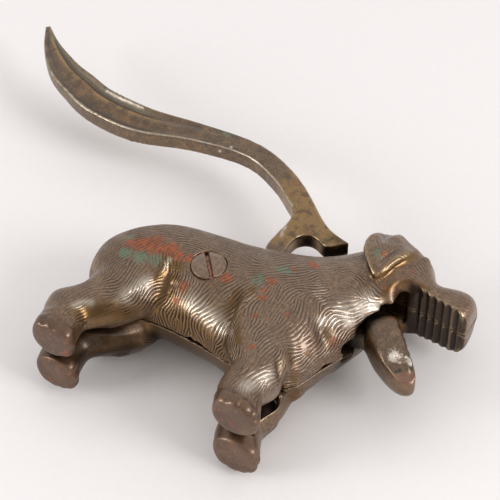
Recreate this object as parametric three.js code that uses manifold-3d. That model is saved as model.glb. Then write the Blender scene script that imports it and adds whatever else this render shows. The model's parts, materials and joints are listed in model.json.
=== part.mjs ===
// Dog nutcracker: a cast dog in two hollow halves, and one lever that is its tail and its lower jaw.
// The dog lies on its left side: X runs to the muzzle, Y to the dog's back, Z up to its right flank.
// Every shape is drawn about the pivot pin and the parting plane; sizes are in millimetres.
import * as THREE from "three";
import { mergeVertices } from "three/addons/utils/BufferGeometryUtils.js";
import Module from "manifold-3d";

const wasm = await Module();
wasm.setup();

const degrees = THREE.MathUtils.degToRad;
const plane = (x, y) => new THREE.Vector2(x, y);
const spots = (named) => Object.values(named).map(([x, y]) => plane(x, y));

// Main sizes, measured from the pivot
const TAIL_REACH = 188.6;
const TAIL_HEIGHT = 90;
const TRUNK_REACH = 91;
const MUZZLE_REACH = 45.2;
const LEG_DROP = 67.8;
const FLANK = 20.3;

// Castings
const PARTING_GAP = 0.3;
const WALL = 4;
const REAR = -TRUNK_REACH;
const SOLE_Y = -LEG_DROP;

// Pivot pin, blind in both halves
const PIN_RADIUS = 3;
const PIN_REACH = 12;
const PIN_FIT = 0.15;
const HUB_FIT = 0.25;
const HUB_RADIUS = 9;
const OPENS_FURTHER = degrees(-6);
const CLOSES = degrees(36);

// Lever
const LEVER_THICK = 7;
const LEVER_EDGE = 0.5;
const SLOT_FIT = 0.4;
const SWING_FIT = 0.8;
const JAW_HALF = 7.5;
const JAW_FIT = 0.7;
const JAW_POCKET = 12;
const ARM_POCKET = 19;
const FLUTE = 1.3;

// Teeth: rounded bars across the palate and the lower jaw, as many as fit
const TOOTH_PITCH = 3.2;
const TOOTH_DEPTH = 1;
const PALATE_BACK = { x: 23, y: 16.8 };
const PALATE_ANGLE = degrees(-7.4);
const PALATE_LIP = 1.9;
const JAW_LENGTH = 27.4;
const JAW_START = { x: 22.7, y: 3.8 };
const JAW_ANGLE = degrees(-48.9);
const JAW_LIP = 5.4;

// Screw that clamps the halves together
const SCREW_FROM_RUMP = 46.8;
const SCREW_AT = { x: REAR + SCREW_FROM_RUMP, y: -15.9 };
const SCREW_HEAD = 6.6;
const SCREW_HEAD_DEEP = 2;
const SCREW_CONE = 3;
const SCREW_CROWN = 0.5;
const SCREW_SHANK = 2.6;
const SCREW_BELOW = 12;
const SCREW_FIT = 0.15;
const SCREW_SLOT = 1.5;
const SCREW_SLOT_DEEP = 1.8;
const SCREW_SLOT_TURN = degrees(39);
const BOSS_WALL = 3.4;

// Pegs that line the halves up
const PEG_RADIUS = 2;
const PEG_LENGTH = 3;
const PEG_FIT = 0.2;
const PEG_WALL = 3;
const PEG_FROM_RUMP = 9;
const RUMP_PEG = { x: REAR + PEG_FROM_RUMP, y: -14 };
const BREAST_PEG = { x: -0.5, y: -24 };

// Eyes, nose and toes
const EYE_RADIUS = 2.4;
const EYE_AT = new THREE.Vector3(20.6, 30, 12.2);
const NOSE_AT = new THREE.Vector3(MUZZLE_REACH - 4.4, 27, 0);
const NOSE_SIZE = new THREE.Vector3(3.2, 3.2, 4.6);
const TOE_SIZE = new THREE.Vector3(3.4, 4, 2.5);
const TOE_STEP = 4.2;
const TOE_REACH = 5.4;

// Trunk and head: outline points above and below each station, and the half width there
const TRUNK = {
  rump: { top: [REAR, -14], low: [REAR + 1, -26], half: 6 },
  croup: { top: [REAR + 4, -9], low: [REAR + 5, -34], half: 13.6 },
  hips: { top: [REAR + 12, -1.2], low: [REAR + 12.5, -37], half: FLANK - 1.8 },
  loin: { top: [REAR + 23, 6.2], low: [REAR + 24.5, -36.6], half: FLANK },
  ribs: { top: [REAR + 38.5, 9.4], low: [REAR + 38.5, -35.8], half: FLANK - 0.6 },
  chest: { top: [-38.5, 11], low: [-36.5, -37], half: FLANK - 0.4 },
  shoulder: { top: [-26.5, 14.4], low: [-20.5, -39.5], half: FLANK },
  breast: { top: [-17.5, 18.6], low: [0.4, -39.2], half: FLANK - 0.8 },
  throat: { top: [-11.5, 23.1], low: [7, -26.8], half: FLANK - 2.7 },
  neck: { top: [-6.5, 28.1], low: [12, -13.4], half: FLANK - 4.3 },
  nape: { top: [-1.5, 32.6], low: [16, 1], half: FLANK - 5.1 },
};
const HEAD = {
  nape: { top: [-6, 28], low: [4, 0], half: 13.5 },
  poll: { top: [4, 36.6], low: [12, 2], half: 15.8 },
  brow: { top: [14, 38.6], low: [18, 8], half: 16 },
  eyes: { top: [22.8, 35.2], low: [24, 10], half: 14.2 },
  stop: { top: [28, 27], low: [28.6, 10], half: 12.4 },
  muzzle: { top: [MUZZLE_REACH - 11.2, 28.8], low: [MUZZLE_REACH - 11.2, 9], half: 12 },
  lip: { top: [MUZZLE_REACH - 4.4, 29.6], low: [MUZZLE_REACH - 4.4, 9], half: 11.8 },
  front: { top: [MUZZLE_REACH - 0.4, 26], low: [MUZZLE_REACH, 12], half: 9.6 },
};

// Legs: centre of each station, then its radii along the body and across it.
// The lower stations are measured up from the sole.
const FRONT_LEG = {
  shoulder: { at: [-21, -14, 8.5], deep: 16, wide: 10.8 },
  upper: { at: [-14, -32, 10.6], deep: 13, wide: 8.8 },
  forearm: { at: [-7.4, SOLE_Y + 21.8, 9.4], deep: 9.4, wide: 9 },
  wrist: { at: [-8.8, SOLE_Y + 12, 9.6], deep: 8.2, wide: 8.2 },
  paw: { at: [-5.6, SOLE_Y + 5, 10], deep: 8.6, wide: 8.4 },
  sole: { at: [-4.4, SOLE_Y - 2, 10.2], deep: 8.2, wide: 7.8 },
};
const REAR_LEG = {
  hip: { at: [REAR + 22.5, -13, 8], deep: 16, wide: 11 },
  thigh: { at: [REAR + 21.6, -30, 8.4], deep: 14.6, wide: 10 },
  gaskin: { at: [REAR + 16.3, SOLE_Y + 26.2, 7.6], deep: 11, wide: 7.3 },
  hock: { at: [REAR + 9.2, SOLE_Y + 16.4, 7.9], deep: 9.4, wide: 6.9 },
  paw: { at: [REAR + 10.7, SOLE_Y + 6, 8.7], deep: 8.3, wide: 7.7 },
  sole: { at: [REAR + 12, SOLE_Y - 2, 8.6], deep: 7.6, wide: 7.4 },
};

// Ear: a leaf that folds over at its root and hangs down over the cheek
const EAR = {
  root: { at: [8, 37.4, 9], deep: 7, wide: 3.2 },
  fold: { at: [7.6, 33.2, 12.2], deep: 8, wide: 3.4 },
  broad: { at: [6.8, 28, 15.6], deep: 9.2, wide: 3 },
  middle: { at: [6.8, 21.8, 17.5], deep: 7.6, wide: 2.8 },
  lower: { at: [8.3, 15.4, 17.1], deep: 4.2, wide: 2.1 },
  tip: { at: [9.2, 10.8, 15.8], deep: 1.2, wide: 1.4 },
};

// Tail: place between the fork and the tip as shares of the tail's run and rise, then half width,
// thickness and share of the flute
const TAIL = {
  fork: { run: 0, rise: 0, half: 4.6, thick: LEVER_THICK, flute: 0 },
  arch: { run: 0.094, rise: 0.233, half: 4.6, thick: LEVER_THICK, flute: 0 },
  crest: { run: 0.216, rise: 0.391, half: 4.5, thick: LEVER_THICK, flute: 0 },
  fall: { run: 0.381, rise: 0.359, half: 5.5, thick: 6.8, flute: 0.4 },
  spread: { run: 0.524, rise: 0.266, half: 7.7, thick: 6.6, flute: 0.9 },
  leaf: { run: 0.612, rise: 0.266, half: 8.2, thick: 6.4, flute: 1 },
  grip: { run: 0.696, rise: 0.313, half: 8, thick: 6.1, flute: 1 },
  lift: { run: 0.764, rise: 0.404, half: 7.6, thick: 5.6, flute: 0.9 },
  taper: { run: 0.834, rise: 0.508, half: 6.7, thick: 5, flute: 0.75 },
  curl: { run: 0.892, rise: 0.642, half: 5.2, thick: 4.3, flute: 0.5 },
  point: { run: 0.946, rise: 0.797, half: 3.2, thick: 3.6, flute: 0.2 },
  tip: { run: 1, rise: 1, half: 1.1, thick: 3, flute: 0 },
};

// Root of the lever: the edge that sinks into the back, the edge that faces the neck, the spur that
// points forward over the neck, and the arm that carries the jaw
const TAIL_FORK = { x: -37.5, y: 43.7 };
const STEM_BACK = {
  arm: [-12, -7],
  crook: [-20, -4],
  heel: [-33, 4],
  calf: [-38.6, 16],
  waist: [-38.7, 24.4],
  hollow: [-38, 34.3],
  bend: [-40.5, 40.2],
  tail: [-46.6, 45.8],
};
const STEM_FRONT = { upper: [-31.4, 18], middle: [-30.6, 10], lower: [-26, 5.4] };
const SPUR_TOP = {
  tail: [-42, 53.6],
  crown: [-34.5, 47.2],
  ridge: [-27.1, 40.5],
  slope: [-20.6, 36.2],
  end: [-12, 33.6],
};
const SPUR_UNDER = {
  end: [-15.6, 30.1],
  notch: [-19, 27.5],
  belly: [-24.4, 29.7],
  inner: [-28, 29.4],
  stem: [-30.9, 26],
};
const JAW_ARM = {
  hub: [8, 8.6],
  bend: [16, 6.4],
  end: [22, 0],
  under: [18, -6],
  back: [10, -8.4],
};

// Mouth: the edge of the open throat and the corner of the mouth, from below up to the palate
const MOUTH_EDGE = {
  breast: [27, -24],
  throat: [17.6, -15.6],
  gullet: [12.8, -8],
  floor: [14, 0.5],
  corner: [16, 4],
  cheek: [16, 12],
  arch: [17.6, 15.2],
  recess: [20.2, 16.8],
};

// Pocket for the root of the jaw, round the hub and up behind the palate
const POCKET_EDGE = {
  heel: [8, 18.2],
  roof: [12.6, 18.6],
  palate: [19.9, 18.2],
  mouth: [24, 8],
  breast: [17.4, -15.4],
  gullet: [12, -8.6],
};

// Lower jaw: place along the teeth, depth from teeth to chin, half width, and fall of the toothed face
const JAW = {
  root: { along: -4.4, deep: 8.4, half: JAW_HALF - 2, drop: 2 },
  cheek: { along: -2, deep: 13.2, half: JAW_HALF, drop: 0 },
  middle: { along: 10, deep: 13, half: JAW_HALF, drop: 0 },
  chin: { along: JAW_LENGTH - 7.6, deep: 10, half: JAW_HALF - 0.4, drop: 0.2 },
  lip: { along: JAW_LENGTH - 2.6, deep: 7.6, half: JAW_HALF - 1.8, drop: 0.8 },
  tip: { along: JAW_LENGTH, deep: 5, half: JAW_HALF - 4, drop: 1.8 },
};

const RING_POINTS = 20;
const HALF_SLOT = LEVER_THICK / 2 + SLOT_FIT;
const SCREW_TOP = TRUNK.ribs.half;
const PIVOT = plane(0, 0);
const BEYOND = 2 * (TAIL_REACH + MUZZLE_REACH);
const PALATE_TEETH = Math.floor((MUZZLE_REACH - PALATE_LIP - PALATE_BACK.x) / TOOTH_PITCH);
const JAW_TEETH = Math.floor((JAW_LENGTH - JAW_LIP) / TOOTH_PITCH);

const power = (value, exponent) => Math.sign(value) * Math.abs(value) ** exponent;
const swung = (point, angle) => point.clone().rotateAround(PIVOT, angle);
const joined = (...solids) => solids.reduce((sum, item) => sum.add(item));
const without = (body, ...cuts) => cuts.reduce((rest, cut) => rest.subtract(cut), body);

function manifold(geometry) {
  const bare = new THREE.BufferGeometry();
  bare.setAttribute("position", geometry.getAttribute("position"));
  bare.setIndex(geometry.getIndex());
  const welded = mergeVertices(bare, 1e-5);
  return new wasm.Manifold(new wasm.Mesh({
    numProp: 3,
    vertProperties: new Float32Array(welded.getAttribute("position").array),
    triVerts: new Uint32Array(welded.getIndex().array),
  }));
}

// Turns the faces outward where a skin was wound the other way.
function solid(geometry) {
  const body = manifold(geometry);
  if (body.volume() > 0) {
    return body;
  }
  const copy = geometry.clone();
  copy.setIndex(Array.from(geometry.getIndex().array).reverse());
  return manifold(copy);
}

// A closed skin over rings of equal length, with a fan at each end.
function loft(rings) {
  const count = rings[0].length;
  const points = rings.flat();
  const faces = [];
  for (let ring = 0; ring + 1 < rings.length; ring += 1) {
    for (let k = 0; k < count; k += 1) {
      const a = ring * count + k;
      const b = ring * count + (k + 1) % count;
      faces.push(a, b, a + count, b, b + count, a + count);
    }
  }
  for (const ring of [0, rings.length - 1]) {
    const hub = points.length;
    const sum = rings[ring].reduce((total, p) => total.add(p), new THREE.Vector3());
    points.push(sum.divideScalar(count));
    for (let k = 0; k < count; k += 1) {
      const a = ring * count + k;
      const b = ring * count + (k + 1) % count;
      faces.push(...(ring === 0 ? [hub, b, a] : [hub, a, b]));
    }
  }
  const geometry = new THREE.BufferGeometry().setFromPoints(points);
  geometry.setIndex(faces);
  return solid(geometry);
}

// A ring whose corners fill out as boxy rises above 2.
function oval(centre, up, across, boxy) {
  const ring = [];
  for (let k = 0; k < RING_POINTS; k += 1) {
    const angle = 2 * Math.PI * k / RING_POINTS;
    ring.push(centre.clone()
      .addScaledVector(up, power(Math.cos(angle), 2 / boxy))
      .addScaledVector(across, power(Math.sin(angle), 2 / boxy)));
  }
  return ring;
}

function curve(stations, place) {
  const points = Object.values(stations).map((s) => new THREE.Vector3(...place(s)));
  return new THREE.CatmullRomCurve3(points, false, "catmullrom", 0.5);
}

// Trunk, head and cavity: rings hung between an upper and a lower outline.
function hungForm(stations, steps, boxy, inset = 0) {
  const top = curve(stations, (s) => [...s.top, s.half]);
  const low = curve(stations, (s) => [...s.low, s.half]);
  const rings = [];
  for (let step = 0; step <= steps; step += 1) {
    const above = top.getPoint(step / steps);
    const below = low.getPoint(step / steps);
    const width = new THREE.Vector3(0, 0, above.z - inset);
    above.z = 0;
    below.z = 0;
    const up = above.clone().sub(below).divideScalar(2);
    up.setLength(up.length() - inset);
    rings.push(oval(above.add(below).divideScalar(2), up, width, boxy));
  }
  return loft(rings);
}

// Legs: ovals square to a bent axis.
function limb(stations, steps) {
  const axis = curve(stations, (s) => s.at);
  const size = curve(stations, (s) => [s.deep, s.wide, 0]);
  const rings = [];
  for (let step = 0; step <= steps; step += 1) {
    const run = axis.getTangent(step / steps).setZ(0).normalize();
    const girth = size.getPoint(step / steps);
    const along = new THREE.Vector3(-run.y, run.x, 0).multiplyScalar(girth.x);
    rings.push(oval(axis.getPoint(step / steps), along, new THREE.Vector3(0, 0, girth.y), 2.2));
  }
  return loft(rings);
}

function ball(at, size) {
  const geometry = new THREE.SphereGeometry(1, 12, 8);
  geometry.scale(size.x, size.y, size.z);
  geometry.translate(at.x, at.y, at.z);
  return solid(geometry);
}

// A round bar along Z between two heights.
function bar(at, radius, from, to, segments = 28) {
  const geometry = new THREE.CylinderGeometry(radius, radius, to - from, segments);
  geometry.rotateX(Math.PI / 2);
  geometry.translate(at.x, at.y, (from + to) / 2);
  return solid(geometry);
}

function block(low, high) {
  const size = high.clone().sub(low);
  const geometry = new THREE.BoxGeometry(size.x, size.y, size.z);
  geometry.translate((low.x + high.x) / 2, (low.y + high.y) / 2, (low.z + high.z) / 2);
  return solid(geometry);
}

// A flat outline made into a slab centred on the parting plane.
function slab(shape, half, bevel = 0, curveSegments = 8) {
  const geometry = new THREE.ExtrudeGeometry(shape, {
    depth: 2 * (half - bevel),
    curveSegments,
    bevelEnabled: bevel > 0,
    bevelThickness: bevel,
    bevelSize: bevel,
    bevelOffset: -bevel,
    bevelSegments: 1,
  });
  geometry.translate(0, 0, bevel - half);
  return solid(geometry);
}

// Outline of a row of rounded teeth; they rise to the left of the run.
function teeth(from, angle, count) {
  const run = plane(Math.cos(angle), Math.sin(angle));
  const left = plane(-run.y, run.x);
  const points = [];
  for (let k = 0; k <= count * 5; k += 1) {
    const rise = TOOTH_DEPTH * (1 - Math.cos(2 * Math.PI * k / 5)) / 2;
    const at = plane(from.x, from.y).addScaledVector(run, k * TOOTH_PITCH / 5);
    points.push(at.addScaledVector(left, rise));
  }
  return points;
}

// Space for the nut: below the toothed palate, before the corner of the mouth and the open throat.
function mouthSpace() {
  const roof = teeth(PALATE_BACK, PALATE_ANGLE, PALATE_TEETH);
  const shape = new THREE.Shape([
    ...roof,
    plane(BEYOND, roof[roof.length - 1].y),
    plane(BEYOND, MOUTH_EDGE.breast[1]),
    ...spots(MOUTH_EDGE),
  ]);
  return slab(shape, 2 * FLANK);
}

// Room for the lever: its way through the back, the hub, and the root of the jaw.
function leverSpace() {
  const front = spots(STEM_FRONT).map((p) => swung(p, OPENS_FURTHER).add(plane(SWING_FIT, SWING_FIT)));
  const sunk = CLOSES + SWING_FIT / plane(...STEM_BACK.heel).length();
  const back = spots(STEM_BACK).map((p) => swung(p, sunk));
  const way = new THREE.Shape([
    plane(front[0].x, TAIL_HEIGHT),
    ...front,
    plane(0, HUB_RADIUS + SWING_FIT),
    plane(0, -HUB_RADIUS - SWING_FIT),
    ...back,
    plane(back[back.length - 1].x, TAIL_HEIGHT),
  ]);
  const jaw = new THREE.Shape();
  jaw.absarc(0, 0, JAW_POCKET, -0.42, 1.3, false);
  for (const [x, y] of Object.values(POCKET_EDGE)) {
    jaw.lineTo(x, y);
  }
  return joined(
    slab(way, HALF_SLOT),
    bar(PIVOT, ARM_POCKET, -HALF_SLOT, HALF_SLOT, 36),
    slab(jaw, JAW_HALF + JAW_FIT, 0, 14),
  );
}

// Three toes at the front of a paw.
function toes(leg) {
  const [x, , z] = leg.sole.at;
  const middle = x + TOE_REACH;
  return joined(...[-1, 0, 1].map((k) => ball(
    new THREE.Vector3(middle - Math.abs(k), SOLE_Y + TOE_SIZE.y * 0.7, z + TOE_STEP * k), TOE_SIZE)));
}

// The right side's legs, ear and eye; the left side's are their mirror image.
function sidePieces() {
  const eye = new THREE.Vector3(EYE_RADIUS, EYE_RADIUS, EYE_RADIUS);
  const legs = [limb(FRONT_LEG, 12), limb(REAR_LEG, 12), toes(FRONT_LEG), toes(REAR_LEG)];
  return joined(...legs, limb(EAR, 8), ball(EYE_AT, eye));
}

function dogSkin() {
  const right = sidePieces();
  const whole = joined(
    hungForm(TRUNK, 26, 2.15),
    hungForm(HEAD, 18, 2.3),
    ball(NOSE_AT, NOSE_SIZE),
    right,
    right.mirror([0, 0, 1]),
  );
  const floor = block(
    new THREE.Vector3(-BEYOND, 2 * SOLE_Y, -BEYOND),
    new THREE.Vector3(BEYOND, SOLE_Y, BEYOND),
  );
  return without(whole, floor, mouthSpace());
}

// Slotted screw with a low crown. Grown by a fit and left plain it is the tool for its own hole.
function screwForm(grow, tall) {
  const head = SCREW_HEAD + grow;
  const shank = SCREW_SHANK + grow;
  const under = SCREW_TOP - SCREW_HEAD_DEEP - grow;
  const profile = [
    plane(0, -SCREW_BELOW - grow),
    plane(shank, -SCREW_BELOW - grow),
    plane(shank, under - SCREW_CONE),
    plane(head, under),
    plane(head, SCREW_TOP + tall),
    plane(head * 0.6, SCREW_TOP + tall + SCREW_CROWN * 0.7),
    plane(0, SCREW_TOP + tall + SCREW_CROWN),
  ];
  const geometry = new THREE.LatheGeometry(profile, 28);
  geometry.rotateX(Math.PI / 2);
  geometry.translate(SCREW_AT.x, SCREW_AT.y, 0);
  return solid(geometry);
}

function screw() {
  const cut = new THREE.BoxGeometry(SCREW_SLOT, 3 * SCREW_HEAD, 2 * SCREW_SLOT_DEEP);
  cut.rotateZ(SCREW_SLOT_TURN);
  cut.translate(SCREW_AT.x, SCREW_AT.y, SCREW_TOP);
  return without(screwForm(0, 0), solid(cut));
}

function castings() {
  const { rump, nape, neck, throat, ...hollow } = TRUNK;
  const bosses = joined(
    bar(SCREW_AT, SCREW_SHANK + BOSS_WALL, WALL - FLANK, FLANK - WALL),
    bar(RUMP_PEG, PEG_RADIUS + PEG_WALL, WALL - FLANK, FLANK - WALL, 20),
  );
  const cavity = without(hungForm(hollow, 14, 2.15, WALL), bosses);
  const pinHole = bar(PIVOT, PIN_RADIUS + PIN_FIT, -PIN_REACH - PIN_FIT, PIN_REACH + PIN_FIT);
  const shell = without(dogSkin(), cavity, leverSpace(), pinHole, screwForm(SCREW_FIT, FLANK));
  const gap = new THREE.Vector3(0, 0, PARTING_GAP / 2);
  const tall = new THREE.Vector3(0, 0, BEYOND);
  const corner = new THREE.Vector3(BEYOND, BEYOND, 0);
  const right = shell.intersect(block(corner.clone().negate().add(gap), corner.clone().add(tall)));
  const left = shell.intersect(block(corner.clone().negate().sub(tall), corner.clone().sub(gap)));
  const places = [RUMP_PEG, BREAST_PEG];
  const pegs = places.map((at) => bar(at, PEG_RADIUS, -PEG_LENGTH, PEG_LENGTH, 20));
  const sockets = places.map((at) => bar(at, PEG_RADIUS + PEG_FIT, -PEG_LENGTH - PEG_FIT, 0, 20));
  return { right: joined(right, ...pegs), left: without(left, ...sockets) };
}

// The tail: a bar that spreads into a leaf with two flutes and a midrib on each face.
function tailForm() {
  const end = plane(-TAIL_REACH, TAIL_HEIGHT).sub(TAIL_FORK);
  const axis = curve(TAIL, (s) => [TAIL_FORK.x + s.run * end.x, TAIL_FORK.y + s.rise * end.y, 0]);
  const size = curve(TAIL, (s) => [s.half, s.thick / 2, s.flute * FLUTE]);
  const rim = 0.94;
  const across = [-1, -rim, -0.75, -0.5, -0.25, 0, 0.25, 0.5, 0.75, rim, 1];
  const steps = 40;
  const rings = [];
  for (let step = 0; step <= steps; step += 1) {
    const centre = axis.getPoint(step / steps);
    const run = axis.getTangent(step / steps);
    const out = new THREE.Vector3(run.y, -run.x, 0);
    const girth = size.getPoint(step / steps);
    const height = (u) => (Math.abs(u) > rim
      ? girth.y - LEVER_EDGE
      : girth.y - girth.z * Math.sin(Math.PI * u / rim) ** 2);
    const face = across.map((u) => centre.clone().addScaledVector(out, u * girth.x).setZ(height(u)));
    const back = face.map((p) => p.clone().setZ(-p.z)).reverse();
    rings.push([...face, ...back]);
  }
  return loft(rings);
}

// The lower jaw: square shoulders at the teeth and a rounded chin.
function jawForm() {
  const along = plane(Math.cos(JAW_ANGLE), Math.sin(JAW_ANGLE));
  const up = plane(-along.y, along.x);
  const sizes = curve(JAW, (s) => [s.along, s.deep, s.half]);
  const drops = curve(JAW, (s) => [s.along, s.drop, 0]);
  const steps = 16;
  const rings = [];
  for (let step = 0; step <= steps; step += 1) {
    const girth = sizes.getPoint(step / steps);
    const drop = drops.getPoint(step / steps).y;
    const ring = [];
    for (let k = 0; k < RING_POINTS; k += 1) {
      const angle = 2 * Math.PI * k / RING_POINTS;
      const boxy = Math.sin(angle) > 0 ? 7 : 3.2;
      const lift = (girth.y - drop) / 2 * (power(Math.sin(angle), 2 / boxy) - 1) - drop;
      const at = plane(JAW_START.x, JAW_START.y).addScaledVector(along, girth.x);
      at.addScaledVector(up, lift + TOOTH_DEPTH);
      ring.push(new THREE.Vector3(at.x, at.y, girth.z * power(Math.cos(angle), 2 / 4)));
    }
    rings.push(ring);
  }
  const first = plane(JAW_START.x, JAW_START.y).addScaledVector(along, TOOTH_DEPTH / 2);
  const row = teeth(first, JAW_ANGLE, JAW_TEETH);
  const bites = new THREE.Shape([
    ...row,
    row[row.length - 1].clone().addScaledVector(up, TOOTH_PITCH),
    row[0].clone().addScaledVector(up, TOOTH_PITCH),
  ]);
  return without(loft(rings), slab(bites, 2 * JAW_HALF));
}

// The flat root of the lever: tail joint, heel, stem, arm and hub.
function rootForm() {
  const [crown, ...spur] = spots(SPUR_TOP);
  const [hook, ...neck] = spots(SPUR_UNDER);
  const [armHub, armBend, armEnd, armUnder, armBack] = spots(JAW_ARM);
  const shape = new THREE.Shape();
  shape.moveTo(crown.x, crown.y);
  shape.splineThru(spur);
  shape.lineTo(hook.x, hook.y);
  shape.splineThru([...neck, ...spots(STEM_FRONT), plane(-12, HUB_RADIUS - 1.4), plane(0, HUB_RADIUS)]);
  shape.splineThru([armHub, armBend, armEnd]);
  shape.lineTo(armUnder.x, armUnder.y);
  shape.splineThru([armBack, plane(0, -HUB_RADIUS), ...spots(STEM_BACK)]);
  return slab(shape, LEVER_THICK / 2, LEVER_EDGE, 3);
}

function lever() {
  const whole = joined(rootForm(), tailForm(), jawForm());
  return without(whole, bar(PIVOT, PIN_RADIUS + HUB_FIT, -2 * LEVER_THICK, 2 * LEVER_THICK));
}

function finished(name, body, material) {
  const mesh = body.getMesh();
  const geometry = new THREE.BufferGeometry();
  geometry.setAttribute("position", new THREE.BufferAttribute(new Float32Array(mesh.vertProperties), 3));
  geometry.setIndex(new THREE.BufferAttribute(new Uint32Array(mesh.triVerts), 1));
  geometry.computeVertexNormals();
  const piece = new THREE.Mesh(geometry, material);
  piece.name = name;
  return piece;
}

const brass = () => new THREE.MeshStandardMaterial({ color: 0x8d7b5e, metalness: 0.9, roughness: 0.5 });
const steel = () => new THREE.MeshStandardMaterial({ color: 0x77787a, metalness: 0.9, roughness: 0.45 });

const halves = castings();
const dog = new THREE.Group();
dog.name = "dog_nutcracker";
dog.add(
  finished("right_body_half", halves.right, brass()),
  finished("left_body_half", halves.left, brass()),
  finished("tail_jaw_lever", lever(), brass()),
  finished("pivot_pin", bar(PIVOT, PIN_RADIUS, -PIN_REACH, PIN_REACH), steel()),
  finished("body_screw", screw(), brass()),
);

// The origin lies under the middle of the part, on the surface that it rests on.
const box = new THREE.Box3().setFromObject(dog);
const middle = box.getCenter(new THREE.Vector3());
for (const piece of dog.children) {
  piece.geometry.translate(-middle.x, -middle.y, -box.min.z);
}

export default dog;
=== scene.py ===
"""Looks of the dog nutcracker: cast hair, worn brass patina, and the photograph's camera and light."""
import json
import math

import bpy
import numpy as np
from mathutils import Matrix, Vector
from mathutils.bvhtree import BVHTree
from mathutils.kdtree import KDTree


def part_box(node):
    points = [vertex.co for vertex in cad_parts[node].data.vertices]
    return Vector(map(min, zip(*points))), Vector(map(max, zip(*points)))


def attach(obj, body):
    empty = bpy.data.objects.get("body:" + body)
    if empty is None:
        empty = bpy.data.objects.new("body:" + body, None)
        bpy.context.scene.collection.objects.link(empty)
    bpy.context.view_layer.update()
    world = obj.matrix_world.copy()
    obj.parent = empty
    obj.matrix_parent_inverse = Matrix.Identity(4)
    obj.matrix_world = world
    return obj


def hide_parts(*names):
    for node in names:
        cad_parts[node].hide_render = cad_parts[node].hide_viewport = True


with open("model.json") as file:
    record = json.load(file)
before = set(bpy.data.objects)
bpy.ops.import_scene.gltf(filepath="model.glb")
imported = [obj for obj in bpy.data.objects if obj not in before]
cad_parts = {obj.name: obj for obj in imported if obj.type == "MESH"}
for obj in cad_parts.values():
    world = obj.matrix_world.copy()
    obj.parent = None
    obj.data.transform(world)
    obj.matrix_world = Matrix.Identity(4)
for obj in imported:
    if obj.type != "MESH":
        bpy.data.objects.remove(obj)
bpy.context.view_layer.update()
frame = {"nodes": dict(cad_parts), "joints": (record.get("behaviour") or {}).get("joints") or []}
scene = bpy.context.scene

# Shapes below are in millimetres about the pivot pin and the parting plane, as in the part's source.
# The left half is worked as the mirror image of the right one, so its z is positive too.
MM = 1000
PIVOT = np.array(frame["joints"][0]["pos_m"]) * MM
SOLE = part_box("right_body_half")[0].y * MM - PIVOT[1]
SCREW_LOW, SCREW_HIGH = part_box("body_screw")
SCREW = np.array([(a + b) / 2 * MM for a, b in zip(SCREW_LOW, SCREW_HIGH)])[:2] - PIVOT[:2]
SCREW_RADIUS = (SCREW_HIGH.x - SCREW_LOW.x) / 2 * MM
RIGHT, LEFT, BOTH = 1, -1, 0
SEED = 7

# Fineness of the meshes over the castings, the lever and the screw
CAST_VOXEL, LEVER_VOXEL, SCREW_VOXEL = 0.42, 0.45, 0.25


def rise(low, high, value):
    """Smooth step from 0 at low to 1 at high."""
    share = np.clip((value - low) / (high - low), 0, 1)
    return share * share * (3 - 2 * share)


def bell(value, middle, width):
    """1 at the middle, fading to both sides."""
    return np.exp(-((value - middle) / width) ** 2)


def unit(vectors):
    return vectors / np.maximum(np.linalg.norm(vectors, axis=-1, keepdims=True), 1e-9)


def laid(vectors, normal):
    """Unit vectors laid flat on the skin."""
    return unit(vectors - (vectors * normal).sum(1, keepdims=True) * normal)


def placed(name, data):
    """A new object in the scene."""
    made = bpy.data.objects.new(name, data)
    scene.collection.objects.link(made)
    return made


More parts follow.
